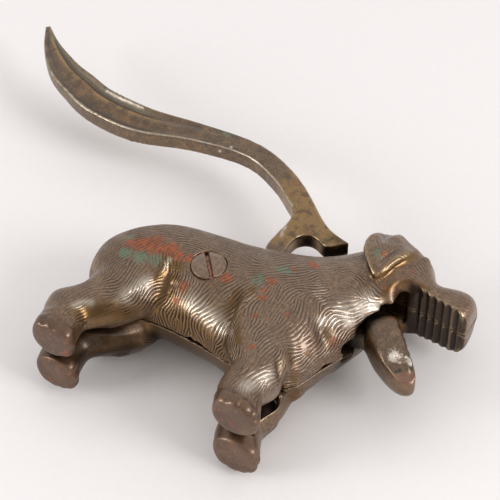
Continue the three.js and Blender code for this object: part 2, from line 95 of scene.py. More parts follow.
class Skin:
    """A fine mesh over a CAD node, held as arrays while it is worked."""

    def __init__(self, node, voxel):
        copy = placed("work", frame["nodes"][node].data.copy())
        remesh = copy.modifiers.new("remesh", "REMESH")
        remesh.mode = "VOXEL"
        remesh.voxel_size = voxel / MM
        bpy.context.view_layer.update()
        fine = copy.evaluated_get(bpy.context.evaluated_depsgraph_get())
        self.mesh = bpy.data.meshes.new_from_object(fine)
        bpy.data.objects.remove(copy)
        self.mesh.materials.clear()
        count = len(self.mesh.vertices)
        places = np.empty(count * 3, np.float32)
        self.mesh.vertices.foreach_get("co", places)
        self.at = places.reshape(-1, 3).astype(float) * MM - PIVOT
        pairs = np.empty(len(self.mesh.edges) * 2, np.int32)
        self.mesh.edges.foreach_get("vertices", pairs)
        self.start, self.end = pairs.reshape(-1, 2).T
        links = np.bincount(self.start, minlength=count) + np.bincount(self.end, minlength=count)
        self.links = np.maximum(links, 1)
        quads = np.empty(len(self.mesh.loops), np.int32)
        self.mesh.loops.foreach_get("vertex_index", quads)
        self.quads = quads.reshape(-1, 4)

    def mean(self, values):
        """Each vertex's mean over its neighbours."""
        if values.ndim == 1:
            count = len(values)
            total = np.bincount(self.start, values[self.end], count)
            return (total + np.bincount(self.end, values[self.start], count)) / self.links
        return np.stack([self.mean(values[:, k]) for k in range(values.shape[1])], 1)

    def spread(self, values, rounds):
        """The values blurred over the mesh."""
        for _ in range(rounds):
            values = (values + self.mean(values)) / 2
        return values

    def relax(self, weight, rounds):
        """Smooth the form, each vertex by its weight."""
        for _ in range(rounds):
            self.at += weight[:, None] * 0.5 * (self.mean(self.at) - self.at)

    def normals(self):
        p = self.at[self.quads]
        face = np.cross(p[:, 2] - p[:, 0], p[:, 3] - p[:, 1])
        total = np.zeros_like(self.at)
        for k in range(4):
            for axis in range(3):
                total[:, axis] += np.bincount(self.quads[:, k], face[:, axis], len(total))
        return unit(total)

    def bulge(self, rounds):
        """How far each vertex stands out from the blurred form."""
        return ((self.at - self.spread(self.at, rounds)) * self.normals()).sum(1)

    def keep(self, name, values):
        """Store a field that the material reads."""
        field = self.mesh.attributes.new(name, "FLOAT", "POINT")
        field.data.foreach_set("value", values.astype(np.float32))

    def finish(self, name, body, node, material):
        self.mesh.vertices.foreach_set("co", ((self.at + PIVOT) / MM).astype(np.float32).ravel())
        self.mesh.update()
        self.mesh.polygons.foreach_set("use_smooth", np.ones(len(self.mesh.polygons), bool))
        self.mesh.materials.append(material)
        piece = placed(name, self.mesh)
        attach(piece, body)
        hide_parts(node)
        return piece


def distance(points, path):
    """Distance from each point to a polyline, and how far along it the nearest place lies."""
    path = np.asarray(path, float)
    best = np.full(len(points), np.inf)
    along = np.zeros(len(points))
    for k in range(len(path) - 1):
        run = path[k + 1] - path[k]
        share = np.clip(((points - path[k]) @ run) / (run @ run), 0, 1)
        far = np.linalg.norm(points - path[k] - share[:, None] * run, axis=1)
        near = far < best
        best[near] = far[near]
        along[near] = (k + share[near]) / (len(path) - 1)
    return best, along


def from_side(points, path):
    """Distance from each point to a polyline, both seen from the side."""
    return distance(points[:, :2], path)[0]


def stroke(points, path, heights, width):
    """A stroke along a path: it has those heights along it and fades across its width."""
    far, along = distance(points, path)
    return np.interp(along, np.linspace(0, 1, len(heights)), heights) * bell(far, 0, width)


def beside(points, path, width):
    """1 on a path, fading across its width."""
    return bell(distance(points, path)[0], 0, width)


def around(points, place, spread):
    """1 at a place, fading round it."""
    return np.exp(-((points - place) ** 2).sum(1) / spread)


def waves(points, length, seed, count=14):
    """Smooth seeded noise, about -1 to 1, with features of that length."""
    rng = np.random.default_rng(seed)
    heading = unit(rng.normal(size=(count, 3))) * (2 * math.pi / length) * rng.uniform(0.6, 1.4, (count, 1))
    phase = rng.uniform(0, 2 * math.pi, count)
    return np.sin(points @ heading.T + phase).sum(1) / math.sqrt(count / 2)


# Hair: strokes that follow the combed lines of the coat, from the muzzle to the tail and down the legs
STROKES = {
    "spine": [(40, 28, 3), (30, 27.5, 3), (22, 35, 5), (8, 38, 4), (-5, 28, 5), (-20, 16, 6), (-40, 11, 5),
        (-60, 9, 5), (-75, 3, 5), (-86, -7, 5), (-91, -20, 3), (-88, -33, 5)],
    "back": [(-5, 11, 15.4), (-16, 2, 17.8), (-25.6, -4, 19.4), (-37.5, -5, 19), (-47, -3.3, 18),
        (-56, -2.4, 17.4), (-64, -3.5, 17.7), (-71, -6.5, 17.9), (-76.5, -15, 18.7), (-80.6, -22, 17.3),
        (-82.6, -28, 14.7), (-84.3, -32, 10)],
    "rump": [(-70, -14.5, 19.9), (-76, -22.4, 18.6), (-78.3, -28, 16.6), (-78, -33.7, 15),
        (-77.8, -40.8, 14.4)],
    "haunch": [(-61.7, -10.7, 19.7), (-67, -19.6, 19.7), (-72.5, -26, 18.4), (-73.6, -32.3, 17.2),
        (-75.3, -38.6, 15.2), (-78, -44.5, 14.5), (-82.4, -49.4, 14.6), (-84.6, -53.8, 14.9)],
    "thigh": [(-68, -25, 18.7), (-68.2, -31.3, 18), (-69.8, -37.7, 16.2), (-73.8, -43, 14.7),
        (-79, -48, 14.5)],
    "stifle": [(-63.3, -24.2, 18.3), (-62, -29.6, 17.5), (-62, -34.7, 16.5), (-63.5, -39, 15.4),
        (-68.2, -43.7, 14.2)],
    "crest": [(-59.3, -19.6, 19.4), (-58.5, -24.4, 17.7), (-58.8, -29.5, 16.5), (-59.8, -34.7, 15.5),
        (-63.2, -41, 14.2)],
    "hock": [(-85.7, -51, 14.3), (-86, -56.7, 14.8), (-84, -62.3, 15.9), (-83.4, -64.8, 15.9)],
    "heel": [(-88, -25, 6), (-89, -40, 8), (-91.5, -50, 8), (-89, -58, 9)],
    "loin": [(-42, -3, 18), (-54.3, -5.2, 18.6), (-63.5, -7.7, 19.4), (-72, -11.8, 19.3)],
    "ribs": [(-6, 5.7, 17), (-17.7, -3.4, 19.2), (-28.3, -10.3, 20), (-38, -11.4, 19.7), (-50, -11, 19.5)],
    "flank": [(-25, -11, 20), (-30.2, -17.8, 19.6), (-34.5, -23.3, 18.2), (-38, -28, 16), (-40, -31.4, 13),
        (-41, -33.8, 9.5), (-38.5, -35.8, 6.2)],
    "belly": [(-29.3, -19.4, 19.5), (-33, -23.6, 18.2), (-35.5, -28, 16.2), (-36.4, -31.4, 13.3),
        (-35.8, -34, 10.2), (-33.3, -36, 7.2)],
    "groin": [(-49.5, -20.4, 18.8), (-48.5, -25, 17), (-48.3, -29, 14.6), (-48.8, -32.5, 11),
        (-48.7, -35, 6.3), (-46.6, -36, 1.4)],
    "waist": [(-35.6, -21.3, 19), (-40, -25.7, 17), (-43, -29.5, 14.3), (-44.5, -32.6, 11),
        (-44.3, -34.5, 7.8), (-42.4, -35.8, 3.7)],
    "elbow": [(-24.7, -20.3, 19.5), (-26, -25, 18), (-27.7, -29.3, 16), (-29, -32.7, 13),
        (-29.2, -35.3, 9.7)],
    "arm": [(-9.6, -10.8, 19.2), (-12, -17.7, 19), (-13.7, -25.4, 19.2), (-14.3, -33, 19.3),
        (-14, -39.2, 18.7), (-13, -44.4, 18), (-12, -49.5, 17.4), (-12, -55, 17)],
    "shoulder": [(-2, 1.5, 17), (-10, -4.2, 18.7), (-12.6, -11.3, 19.7), (-13.7, -18.8, 19.2),
        (-13.6, -27, 19.3), (-13.2, -35, 19.2)],
    "breast": [(0.2, -6.3, 17), (-4.7, -10.8, 18.2), (-6.6, -17.2, 18.4), (-6, -23, 17), (-6, -31.4, 17.7),
        (-7, -40.2, 18.3), (-7.6, -47.5, 17.9)],
    "chest": [(-1.2, -13, 17.3), (-0.4, -18.8, 15.9), (-0.2, -24.4, 14), (-1.9, -30.6, 13.3),
        (-1.7, -36.8, 14.3), (-0.7, -40.8, 12)],
    "keel": [(3.8, -16, 14.6), (3.7, -22.5, 12.2), (1.8, -27.8, 11), (-1.6, -32.7, 13),
        (-1.5, -39.4, 14.4)],
    "shin": [(-1.5, -41.6, 14.5), (-3.8, -48.8, 16.7), (-5.4, -54.2, 16.6), (-5, -59.8, 17.3)],
    "foreleg": [(-9.4, -38.7, 18.7), (-10, -45, 18.3), (-10, -51, 17.5), (-10.8, -57.2, 17),
        (-11.6, -62.6, 16.3)],
    "shaded_inside": [(-9, -40, 4), (-9, -50, 4), (-8, -60, 4)],
    "neck": [(11.2, 3.8, 13), (5, 7.8, 15.6), (0, 8, 16), (-5, 3.3, 17.2), (-14.5, -1.7, 18.8)],
    "withers": [(3.3, -0.7, 16), (-1.7, -2.8, 17.5), (-5.7, -6.7, 18.5), (-9, -12, 19)],
    "nape": [(0.2, 19, 14), (-1.8, 14.8, 14.8), (-6.3, 10, 15.6)],
    "throat": [(12.3, 3.4, 12), (9.2, -6.3, 13), (7.5, -14, 12.4), (7.6, -20, 9.9)],
    "brow": [(27.7, 20.3, 12.3), (23, 24.5, 14), (17.7, 27.2, 15.2)],
    "cheek": [(25, 17.5, 10), (22, 17, 12.6), (18, 17.6, 15), (14.2, 11, 13), (11, 12, 14.5)],
    "muzzle": [(42.5, 18, 10), (37, 18, 12), (31, 18.5, 12)],
    "ear": [(3.3, 31, 17), (6.2, 19, 19.7), (9, 11, 17.3)],
}

EAR_GROOVE = [(12.6, 10, 15), (14.4, 15, 16), (16, 20.6, 16.4), (17.4, 26, 16), (18, 29.6, 14.8)]

# Modelling strokes over the cast form: path, heights along it (negative for a hollow) and width
FORMS = [
    # Thigh: its crest runs on as the front of the rear leg, with a hollow before it
    ([(-59.9, -17.2, 19.6), (-58.6, -22, 18.8), (-58.2, -25, 17.4), (-58.3, -28.7, 16.5)],
     (0, 0.9, 1.1, 0.6), 1.1),
    ([(-60, -29, 17), (-61.4, -33, 16.6), (-62.8, -36.6, 16), (-64.8, -41, 15), (-66.6, -44, 14),
      (-70, -47, 13.4)], (0, 0.6, 1.6, 2.2, 2.1, 0.8), 2.2),
    ([(-71.4, -46.7, 13.8), (-74.6, -49.7, 13.7), (-77, -53, 14), (-77.6, -58.4, 15.6)],
     (0.5, 0.9, 0.7, 0), 2),
    ([(-56, -18, 19.4), (-55, -24.4, 17.4), (-54.3, -28, 15.5), (-54.3, -31, 13), (-54.5, -34.6, 8.7)],
     (0, -1.2, -1.8, -1.6, 0), 3.2),
    # Hock, with the crease under the rump and the hollow over the paw
    ([(-88, -35.5, 0.5), (-88, -37, 6), (-86, -39.5, 11.5), (-83, -41.5, 14)], (-1.6, -2, -1.4, 0), 3.5),
    ([(-90.5, -48.5, 2), (-90.8, -49, 8), (-88.5, -50, 13)], (0.8, 1.5, 0.6), 4),
    ([(-88.5, -57.5, 4), (-88.5, -58, 9), (-86.5, -57.5, 14)], (-0.8, -1.2, -0.6), 3),
    # Shoulder: its crest and the hollow behind the arm
    ([(-23, -17, 19.9), (-24, -21.4, 19.4), (-24.3, -24.5, 18.4), (-23.8, -28.3, 18), (-22.6, -32.4, 17.9),
      (-20.7, -36.5, 17.7), (-18, -40.4, 17.6), (-15.8, -43.7, 17.4)],
     (0, 0.9, 1.3, 1.3, 1.2, 1, 0.6, 0), 1.8),
    ([(-28.2, -18.5, 19.4), (-28.5, -24, 17.8), (-28, -29, 15.8), (-26.5, -34, 14), (-23, -39, 12)],
     (0, -1.2, -1.6, -1.5, 0), 3),
    # Chest, and the front of the foreleg
    ([(4.4, -2, 14.8), (3.6, -7, 15.3), (2.8, -11, 15.8)], (0.4, 1.2, 0.6), 3),
    ([(-9, -46, 18.4), (-8.6, -51, 18), (-8.6, -57, 17.5)], (0.3, 0.9, 0.4), 2.4),
    # Fold behind the cheek
    ([(4, 12.5, 15.8), (8, 9, 14.6), (11.5, 7.5, 12.8)], (-0.3, -0.9, -0.4), 2.6),
    # Hollow above the breast, the knob under it, and the crease where the leg meets it
    ([(3.2, -12, 16), (3.3, -18, 14.5), (4.5, -19.6, 12.6), (6, -20.7, 10.7), (7.2, -21.3, 8)],
     (0, -1.2, -1.7, -1.5, -0.4), 2.6),
    ([(0, -37, 10.5), (1.2, -35.3, 7.8), (3, -33.5, 6)], (0.9, 1.5, 0.9), 3.2),
    ([(-2.6, -38, 16.8), (-1.2, -41, 16), (0.6, -43.6, 13.6), (1.5, -44.6, 10.5)],
     (-0.3, -1.1, -1.2, -0.5), 1.8),
    # Lip at the corner of the mouth
    ([(13.6, 5.6, 11.6), (14.4, 9.5, 12.8), (15.6, 12.2, 13.8), (17.4, 15.6, 14.2), (20, 17.4, 14.2),
      (23.2, 18, 13.6), (26.6, 18, 12.8)], (0.3, 0.8, 0.9, 0.9, 0.8, 0.5, 0), 2),
    # Ear: rolled front rim between two grooves, rear rim, and the dip between the two folds at its root
    ([(10.6, 10.8, 16.2), (12.4, 15, 17.4), (14, 20.4, 17.9), (15.5, 26, 17.5), (16, 30.5, 15.4),
      (15.6, 35, 11.4)], (0.3, 0.9, 1.2, 1.3, 1, 0.4), 2),
    ([(8.3, 14, 18.8), (9.6, 18.5, 19.9), (11, 23, 19.8), (12.3, 28, 18.6)], (-0.3, -0.9, -0.9, -0.3), 1.2),
    ([(9.5, 11, 16.7), (6, 13.6, 18), (2, 18.2, 18.9), (-0.6, 22.3, 18.6)], (0.3, 0.5, 0.5, 0.3), 0.9),
    ([(5, 36, 10), (3.8, 33.4, 14), (3.2, 31.2, 16.9), (4.3, 28.3, 18.4), (5.9, 25, 19.6)],
     (-0.9, -1.2, -1.1, -0.8, 0), 1.4),
    ([(0.2, 31.5, 15.5), (0.3, 29, 17.5)], (0.4, 0.3), 2),
    ([(7.6, 34.6, 13), (8, 32, 16.2)], (1.7, 1), 2.4),
    # Creases over the paws
    ([(-15.5, -60.5, 11), (-12.4, -61.2, 16.4), (-9, -61.6, 17.9), (-5, -61.7, 18.2), (-1.7, -62.2, 17.5),
      (1.4, -63, 16.4), (3.4, -62.6, 11)], (-0.3, -0.6, -0.8, -0.8, -0.8, -0.6, -0.3), 1.3),
    ([(-88.5, -60.5, 9), (-85.5, -61, 14.5), (-80, -61.5, 16), (-75.5, -62, 15), (-72.5, -62, 10)],
     (-0.3, -0.6, -0.8, -0.6, -0.3), 1.3),
]

# Toes: bumps along the outer rim of a sole, and the clefts between them, by x and z
HIND_TOES = [(-84.6, 15), (-80, 16.2), (-75.6, 14.9), (-73, 12)]
FRONT_TOES = [(-10.5, 16.6), (-4.4, 17.8), (-0.1, 16.9), (2.6, 14.6), (3.5, 10.8), (3.5, 7)]
TOE_HEIGHT, TOE_WIDTH = 0.5, 2.4
CLEFT_DEPTH, CLEFT_WIDTH = 0.5, 0.8
for toes in (HIND_TOES, FRONT_TOES):
    for x, z in toes:
        FORMS.append(([(x, -63.8, z), (x, -65.2, z)], (TOE_HEIGHT, TOE_HEIGHT), TOE_WIDTH))
    for (x, z), (next_x, next_z) in zip(toes[:-1], toes[1:]):
        cleft = ((x + next_x) / 2, (z + next_z) / 2 + 0.3)
        ends = [(cleft[0], -62.6, cleft[1]), (cleft[0], -66.8, cleft[1])]
        FORMS.append((ends, (-CLEFT_DEPTH, -CLEFT_DEPTH), CLEFT_WIDTH))

# Strokes that push the form one way: path, heights along it, width, direction, and the side they are for
PUSHES = [
    # The front edge of the front leg, the breast over it, and the front edge of the rear leg
    ([(-3, -58, 2), (-2.4, -53, 2), (-0.5, -47, 2), (1, -41.5, 2)], (-0.9, 0.4, 2, 3.2), 2.8,
     (0.95, -0.3, 0), BOTH),
    ([(0, -45, 9), (3, -41.5, 8), (5.5, -36, 7)], (1, 2, 1), 4, (0.75, -0.6, 0), LEFT),
    ([(-78, -50, 1.5), (-68, -45, 1.5), (-58, -40, 1.5)], (0.6, 1.8, 0.6), 2.4, (0.4, -0.9, 0), BOTH),
]

# Edge of the mouth from the throat round its corner and along the upper jaw, by x and y
MOUTH = [(27, -24), (17.6, -15.6), (12.8, -8), (14, 0.5), (16, 4), (16, 12), (17.6, 15.2), (20.2, 16.8),
         (23, 16.8), (42.2, 14.3)]
MOUTH_CORNER, UPPER_JAW = MOUTH[:-1], MOUTH[-2:]
LIP, LIP_RIM = MOUTH[3:9], MOUTH[2:]
EYE = np.array([20.6, 30, 12.2])
NOSE = np.array([40.8, 27, 0])
CHEEK_KNOT = np.array([8, 5.3, 14.8])
# The rear legs and the front legs lie to either side of this x
MIDDLE_X = -40
# Above this z lie the skin round the screw and the ear
SCREW_Z = 12
# Where the right half's edge stands back from the seam: places along the belly or up the chest, and how far
BELLY_NOTCH = ((-60, -50, -42.5, -40, -38.6, -37, -34, -29), (0, 0.4, 0.4, 2.2, 0.7, 1.7, 0.6, 0))
CHEST_NOTCH = ((-31, -26, -24.6, -23, -20), (0, 0.4, 1.8, 1.2, 0))
# How far the lip leans forward at each height
LIP_LEAN = ((-1.5, 1, 3.5, 6, 9, 12, 15, 18), (0, 1.6, 3.4, 4.2, 3.8, 2.6, 1.2, 0))
LEG_HOLLOW = 4.5
# Over these distances a crisp edge gives way to smooth skin
EDGE = (0.9, 2.4)

# Rays that find sheltered places: how many, from one vertex in how many, their reach and start
RAYS, RAY_VERTICES, RAY_REACH, RAY_START = 14, 6, 40, 0.8

# Hair: pitch and depth of the strands, and spacing and reach of the points that set their phase
HAIR_PITCH = 1.22
HAIR_DEPTH = 0.1
HAIR_SPACING, HAIR_REACH, HAIR_BLEND = 1.5, 1.9, 1.2
HAIR_LINKS, HAIR_ROUNDS = 12, 30
BATCH = 8000


def shelter(skin):
    """Share of the sky that each vertex can't see for the castings, from rays at some of the vertices."""
    corners, faces = [], []
    for node in ("right_body_half", "left_body_half"):
        mesh = frame["nodes"][node].data
        mesh.calc_loop_triangles()
        start = len(corners)
        corners.extend(vertex.co * MM - Vector(PIVOT) for vertex in mesh.vertices)
        faces.extend([start + k for k in triangle.vertices] for triangle in mesh.loop_triangles)
    tree = BVHTree.FromPolygons(corners, faces)
    rng = np.random.default_rng(SEED)
    picked = rng.choice(len(skin.at), len(skin.at) // RAY_VERTICES, replace=False)
    normal = skin.normals()
    rays = unit(rng.normal(size=(RAYS, 3))) * 0.9
    known, level = np.zeros(len(skin.at)), np.zeros(len(skin.at))
    for k in picked:
        start = Vector(skin.at[k] + normal[k] * RAY_START)
        hits = [tree.ray_cast(start, Vector(normal[k] + ray), RAY_REACH)[0] is not None for ray in rays]
        level[k] = sum(hits) / len(hits)
        known[k] = 1
    return skin.spread(level, 14) / np.maximum(skin.spread(known, 14), 1e-6)


def rolled_lip(p):
    """How far the cheek's wall leans forward over the jaw at the corner of the mouth."""
    x, y, z = p.T
    lean = np.interp(y, *LIP_LEAN) * ((1 - rise(8.6, 13.8, z)) * rise(7.6, 8.1, z))
    return lean * rise(11.5, 15.5, x) * (1 - rise(20, 23, x))


def from_screw(p):
    """Distance from the screw's axis."""
    return np.hypot(*(p[:, :2] - SCREW).T)


def freedom(p):
    """How freely a point may be smoothed: 0 at the parting plane, mouth, slot and screw."""
    x, y, z = p.T
    free = np.maximum(rise(0.5, 2.4, z), 0.05)
    free *= np.maximum(rise(*EDGE, from_side(p, MOUTH_CORNER)), 0.25)
    free *= rise(*EDGE, from_side(p, UPPER_JAW))
    slot = (x > -70) & (x < -12) & (y > 2)
    free *= np.where(slot, rise(4.3, 5.6, z), 1)
    free *= np.where(z > SCREW_Z, rise(SCREW_RADIUS + 0.5, SCREW_RADIUS + 2.4, from_screw(p)), 1)
    free *= 1 - 0.75 * (1 - rise(2.5, 4.5, np.linalg.norm(p - EYE, axis=1)))
    free *= 1 - 0.6 * (1 - rise(4, 6, np.linalg.norm(p - NOSE, axis=1)))
    free *= 0.4 + 0.6 * rise(4, 9, y - SOLE)
    ear = (x > -5) & (x < 18) & (y > 9) & (z > SCREW_Z)
    return free * np.where(ear, 0.4, 1)


def combed(p, normal):
    """Direction of the hair: the strokes' directions, blended by nearness and laid on the skin."""
    places, heads = [], []
    steps = np.linspace(0, 1, 3)[:, None]
    for path in STROKES.values():
        path = np.array(path, float)
        for a, b in zip(path[:-1], path[1:]):
            places.extend(a + (b - a) * steps)
            heads.extend([unit(b - a)] * len(steps))
    places, heads = np.array(places), np.array(heads)
    flow = np.empty_like(p)
    for start in range(0, len(p), BATCH):
        part = p[start:start + BATCH]
        far = ((part[:, None] - places) ** 2).sum(2)
        flow[start:start + BATCH] = (1 / (far + 3) ** 2.2) @ heads
    return laid(flow, normal)


def nearest(tree, points, count):
    index = np.zeros((len(points), count), np.int32)
    for row, point in enumerate(points):
        index[row] = [found[1] for found in tree.find_n(point, count)]
    return index


def hair_phase(p, wave, normal):
    """Phase of lines that run along the hair, and split or merge where it spreads."""
    rng = np.random.default_rng(SEED)
    order = rng.permutation(len(p))
    cell = np.unique(np.round(p[order] / HAIR_SPACING).astype(int), axis=0, return_index=True)[1]
    seeds = order[cell]
    tree = KDTree(len(seeds))
    for k, place in enumerate(p[seeds]):
        tree.insert(place, k)
    tree.balance()
    at, pull, out = p[seeds], wave[seeds], normal[seeds]
    near = nearest(tree, at, HAIR_LINKS)
    phase = rng.uniform(0, 2 * math.pi, len(seeds))
    run = at[:, None] - at[near]
    same_side = (out[:, None] * out[near]).sum(2) > 0.3
    weight = np.exp(-(run ** 2).sum(2) / (2 * HAIR_REACH ** 2)) * same_side
    weight[:, 0] = 0
    step = (((pull[:, None] + pull[near]) / 2) * run).sum(2)
    # The phases grow outwards from the flank, then settle among their neighbours
    done = np.zeros(len(seeds), bool)
    for k in np.argsort(np.linalg.norm(at - np.array([-20, -10, 20]), axis=1)):
        pick = done[near[k]]
        if pick.any():
            phase[k] = np.angle((weight[k] * np.exp(1j * (phase[near[k]] + step[k])))[pick].sum())
        done[k] = True
    for _ in range(HAIR_ROUNDS):
        total = (weight * np.exp(1j * (phase[near] + step))).sum(1)
        phase = np.where(np.abs(total) > 1e-6, np.angle(total + 0.6 * np.exp(1j * phase)), phase)
    near = nearest(tree, p, 8)
    run = p[:, None] - at[near]
    same_side = (normal[:, None] * out[near]).sum(2) > 0.3
    weight = np.exp(-(run ** 2).sum(2) / (2 * HAIR_BLEND ** 2)) * (0.02 + same_side)
    step = (((wave[:, None] + pull[near]) / 2) * run).sum(2)
    total = (weight * np.exp(1j * (phase[near] + step))).sum(1)
    return total / np.maximum(weight.sum(1), 1e-9)


# Colour patches on the casting: place and radius
RUST = [(-67, -17.6, 19.8, 7), (-74.3, -20.2, 19.2, 4), (-60.6, -16.4, 19.9, 5), (-71, -19.5, 19.5, 5),
        (-56.4, -17.4, 19.4, 3.2), (-52.2, -16.7, 19.3, 2.6), (-35.4, -18.8, 19.3, 3.2),
        (-47.9, -27.3, 15.9, 2.8), (-48.8, -31.6, 12.2, 1.8), (-20.6, -13, 20.1, 3),
        (-20.2, -17.4, 19.7, 1.5), (-19.4, -21, 19.3, 2.2), (-12.7, 4.1, 17.1, 3.2), (-16.5, -2.5, 19, 1.6),
        (-8.4, -23.2, 17.9, 1.8), (-17.5, -29.3, 19.2, 1.6), (-11.6, -41.9, 18.5, 1.7),
        (8.6, 19.5, 19.9, 2.2)]
# Faint red tints
TINT = [(8, -17.5, 8.8, 3.4), (1.2, -35.4, 8.5, 2.6), (0.5, 27, 18, 1.8), (12.9, 31.1, 15.6, 2.6),
        (5.2, 33.6, 15.4, 2), (14, 11, 13.4, 2.4), (20, 21, 15, 3), (-6, 30, 8, 4), (-30, 10, 12, 5),
        (-60, 3, 14, 6), (-66, -45, 13, 2.4), (-11.5, -67.8, 12, 2.2), (-5, -67.8, 7.8, 2),
        (-72.4, -67.8, 5.8, 2), (-80.6, -67.8, 13.2, 2.6)]
VERDIGRIS = [(-68.4, -24.1, 18.8, 4.5), (-62.9, -22.8, 18.8, 3.5), (-74.5, -24.7, 18.3, 3.5),
             (-76.4, -18.3, 19.1, 3), (-24.6, -14.6, 20.1, 3.2), (7.3, 18.8, 19.9, 3),
             (-18.9, -4.9, 19.4, 3.5)]
# Rubbed down to olive brass: path and width
GILT = [
    ([(-59.7, -18.3, 19.5), (-58.2, -25, 17.4), (-58, -30, 16)], 2.6),
    ([(-54.5, -22, 18.2), (-54.3, -29, 15), (-54.5, -34, 8)], 4),
    ([(-60, -43, 9), (-70, -47, 11), (-77, -55, 12)], 4.5),
    ([(-24, -19, 19.6), (-24.2, -26, 18.2), (-22.6, -32.4, 17.9), (-17, -42, 17.5)], 1.6),
    ([(-28.5, -23, 18.2), (-28, -31, 15), (-23, -38, 12)], 3),
    ([(11.4, 11.2, 16.2), (13.6, 17, 17.2), (15.4, 23, 17.4), (16.2, 28, 16.4), (16.2, 31.5, 14.6)], 2.1),
    ([(13, 6, 11), (16, 12.2, 13.2), (20, 16.9, 13.7), (26.6, 17.4, 12.6)], 1.6),
    ([(-47, -33.5, 8), (-38, -35, 7), (-29, -36, 8)], 4),
]
# Polished by handling, with a painted highlight laid over the polish: path and width
POLISH_AND_HIGHLIGHT = [
    ([(-43, -30, 13.8), (-36.2, -32, 12.8), (-31.5, -33.3, 12.4), (-28, -35, 11.8)], 3.4),
    ([(7, -7.7, 13.6), (9.6, -7.1, 11.3), (10.2, -2.1, 12.2), (12.5, 3, 11.5)], 3.6),
    ([(3, -16.8, 14.8), (4.4, -14.3, 14.4), (6.6, -12.2, 13.2)], 2),
    ([(-4.8, -58.1, 17.7), (-3.5, -54.9, 16.6), (-2.1, -51.8, 16.2), (-0.8, -48.5, 15.7)], 2.4),
    ([(-60.4, -32, 16.8), (-61.7, -35.1, 16.6), (-62.8, -38.2, 16), (-64, -41.1, 14.8)], 2.4),
    ([(-58, -20.3, 19.4), (-57.8, -24, 18.2)], 0.7),
    ([(-73.9, -48.8, 13.8), (-76.5, -50.6, 14.1), (-77.9, -53.5, 14.5)], 1.4),
]
# Where the hair is coarse: belly, throat, breast, front leg and shoulder
COARSE = [(-37, -31, 13, 9), (8, -6, 13, 8), (-1, -25, 15, 7), (-5, -50, 17, 6), (-20, -2, 18, 7)]
# Painted shadows in hollows: path, width, strength and side
SHADOWS = [
    # Throat, groin, the slit between the front legs on either side, and the rear shin
    ([(12.5, -6, 4), (12, -12, 6), (10, -16, 4)], 3.6, 1, LEFT),
    ([(-57, -36, 6.3), (-56, -33.7, 10.3), (-53, -34, 14)], 4, 1, LEFT),
    ([(-1.6, -43.1, 2.8), (-1.4, -40.6, 3.6), (-0.7, -38.9, 2.7), (0.3, -38.6, 0.8)], 1.8, 1, LEFT),
    ([(-1.2, -39.4, 0.2), (0.2, -38.8, 0.3), (1.2, -38.1, 0.2)], 1.2, 0.9, RIGHT),
    ([(-62.7, -44.2, 10.5), (-66.9, -47.3, 12), (-70.9, -50.9, 12.2)], 2.8, 0.4, RIGHT),
]
# Wall behind the corner of the mouth, which catches the light
CHEEK_WALL = [(18.3, 12.3, 8.9), (18.6, 13.8, 10), (19, 15.5, 10.6), (20.6, 16.8, 11.6)]
# A bulge of this height counts as fully worn, on the castings, the lever and the screw
CAST_WEAR, LEVER_WEAR, SCREW_WEAR = 0.28, 0.22, 0.14


def patches(p, spots):
    level = np.zeros(len(p))
    for x, y, z, radius in spots:
        far = np.linalg.norm((p - (x, y, z)) * (1, 1.15, 1), axis=1)
        level = np.maximum(level, 1 - rise(0.2, 1.6, far / radius))
    return level


def scattered(spots, rng):
    """The same patches moved about, for the side that the photograph doesn't show."""
    return [(x + rng.uniform(-9, 9), y + rng.uniform(-5, 5), z, radius) for x, y, z, radius in spots]


def strongest(p, strokes):
    level = np.zeros(len(p))
    for path, width in strokes:
        level = np.maximum(level, beside(p, path, width))
    return level


def shape_half(skin, p, side, outer):
    """Cast form that is finer than the solids. Gives the mask of the front legs' inner walls."""
    x, y, z = p.T
    normal = skin.normals()
    lift = sum(stroke(p, *form) for form in FORMS)
    skin.at += (lift * outer * rise(0.3, 2, z))[:, None] * normal
    for path, heights, width, heading, only in PUSHES:
        if only in (BOTH, side):
            skin.at += stroke(p, path, heights, width)[:, None] * np.array(heading)
    skin.at[:, 0] += rolled_lip(p)
    # The front legs are open on their inner side, each with a rim
    inner = rise(-0.55, -0.85, normal[:, 2] * side)
    inner *= (y < -39.5) * (y > SOLE + 7) * (x > MIDDLE_X)
    skin.at[:, 2] += side * LEG_HOLLOW * rise(0.5, 0.95, skin.spread(inner, 10))
    skin.relax(freedom(p), 4)
    lip = (1 - rise(2, 4, from_side(p, LIP))) * rise(8.3, 9.5, z)
    skin.relax(0.9 * np.maximum(lip, np.clip(rolled_lip(p), 0, 1)), 50)
    skin.relax(beside(p, EAR_GROOVE, 2), 20)
    if side == RIGHT:
        seam = (1 - rise(0.15, 3.2, z)) * (z > 0.1)
        gap = np.interp(x, *BELLY_NOTCH) * (y < -30) + np.interp(y, *CHEST_NOTCH) * (x > 4)
        skin.at[:, 2] += seam * gap
    return inner


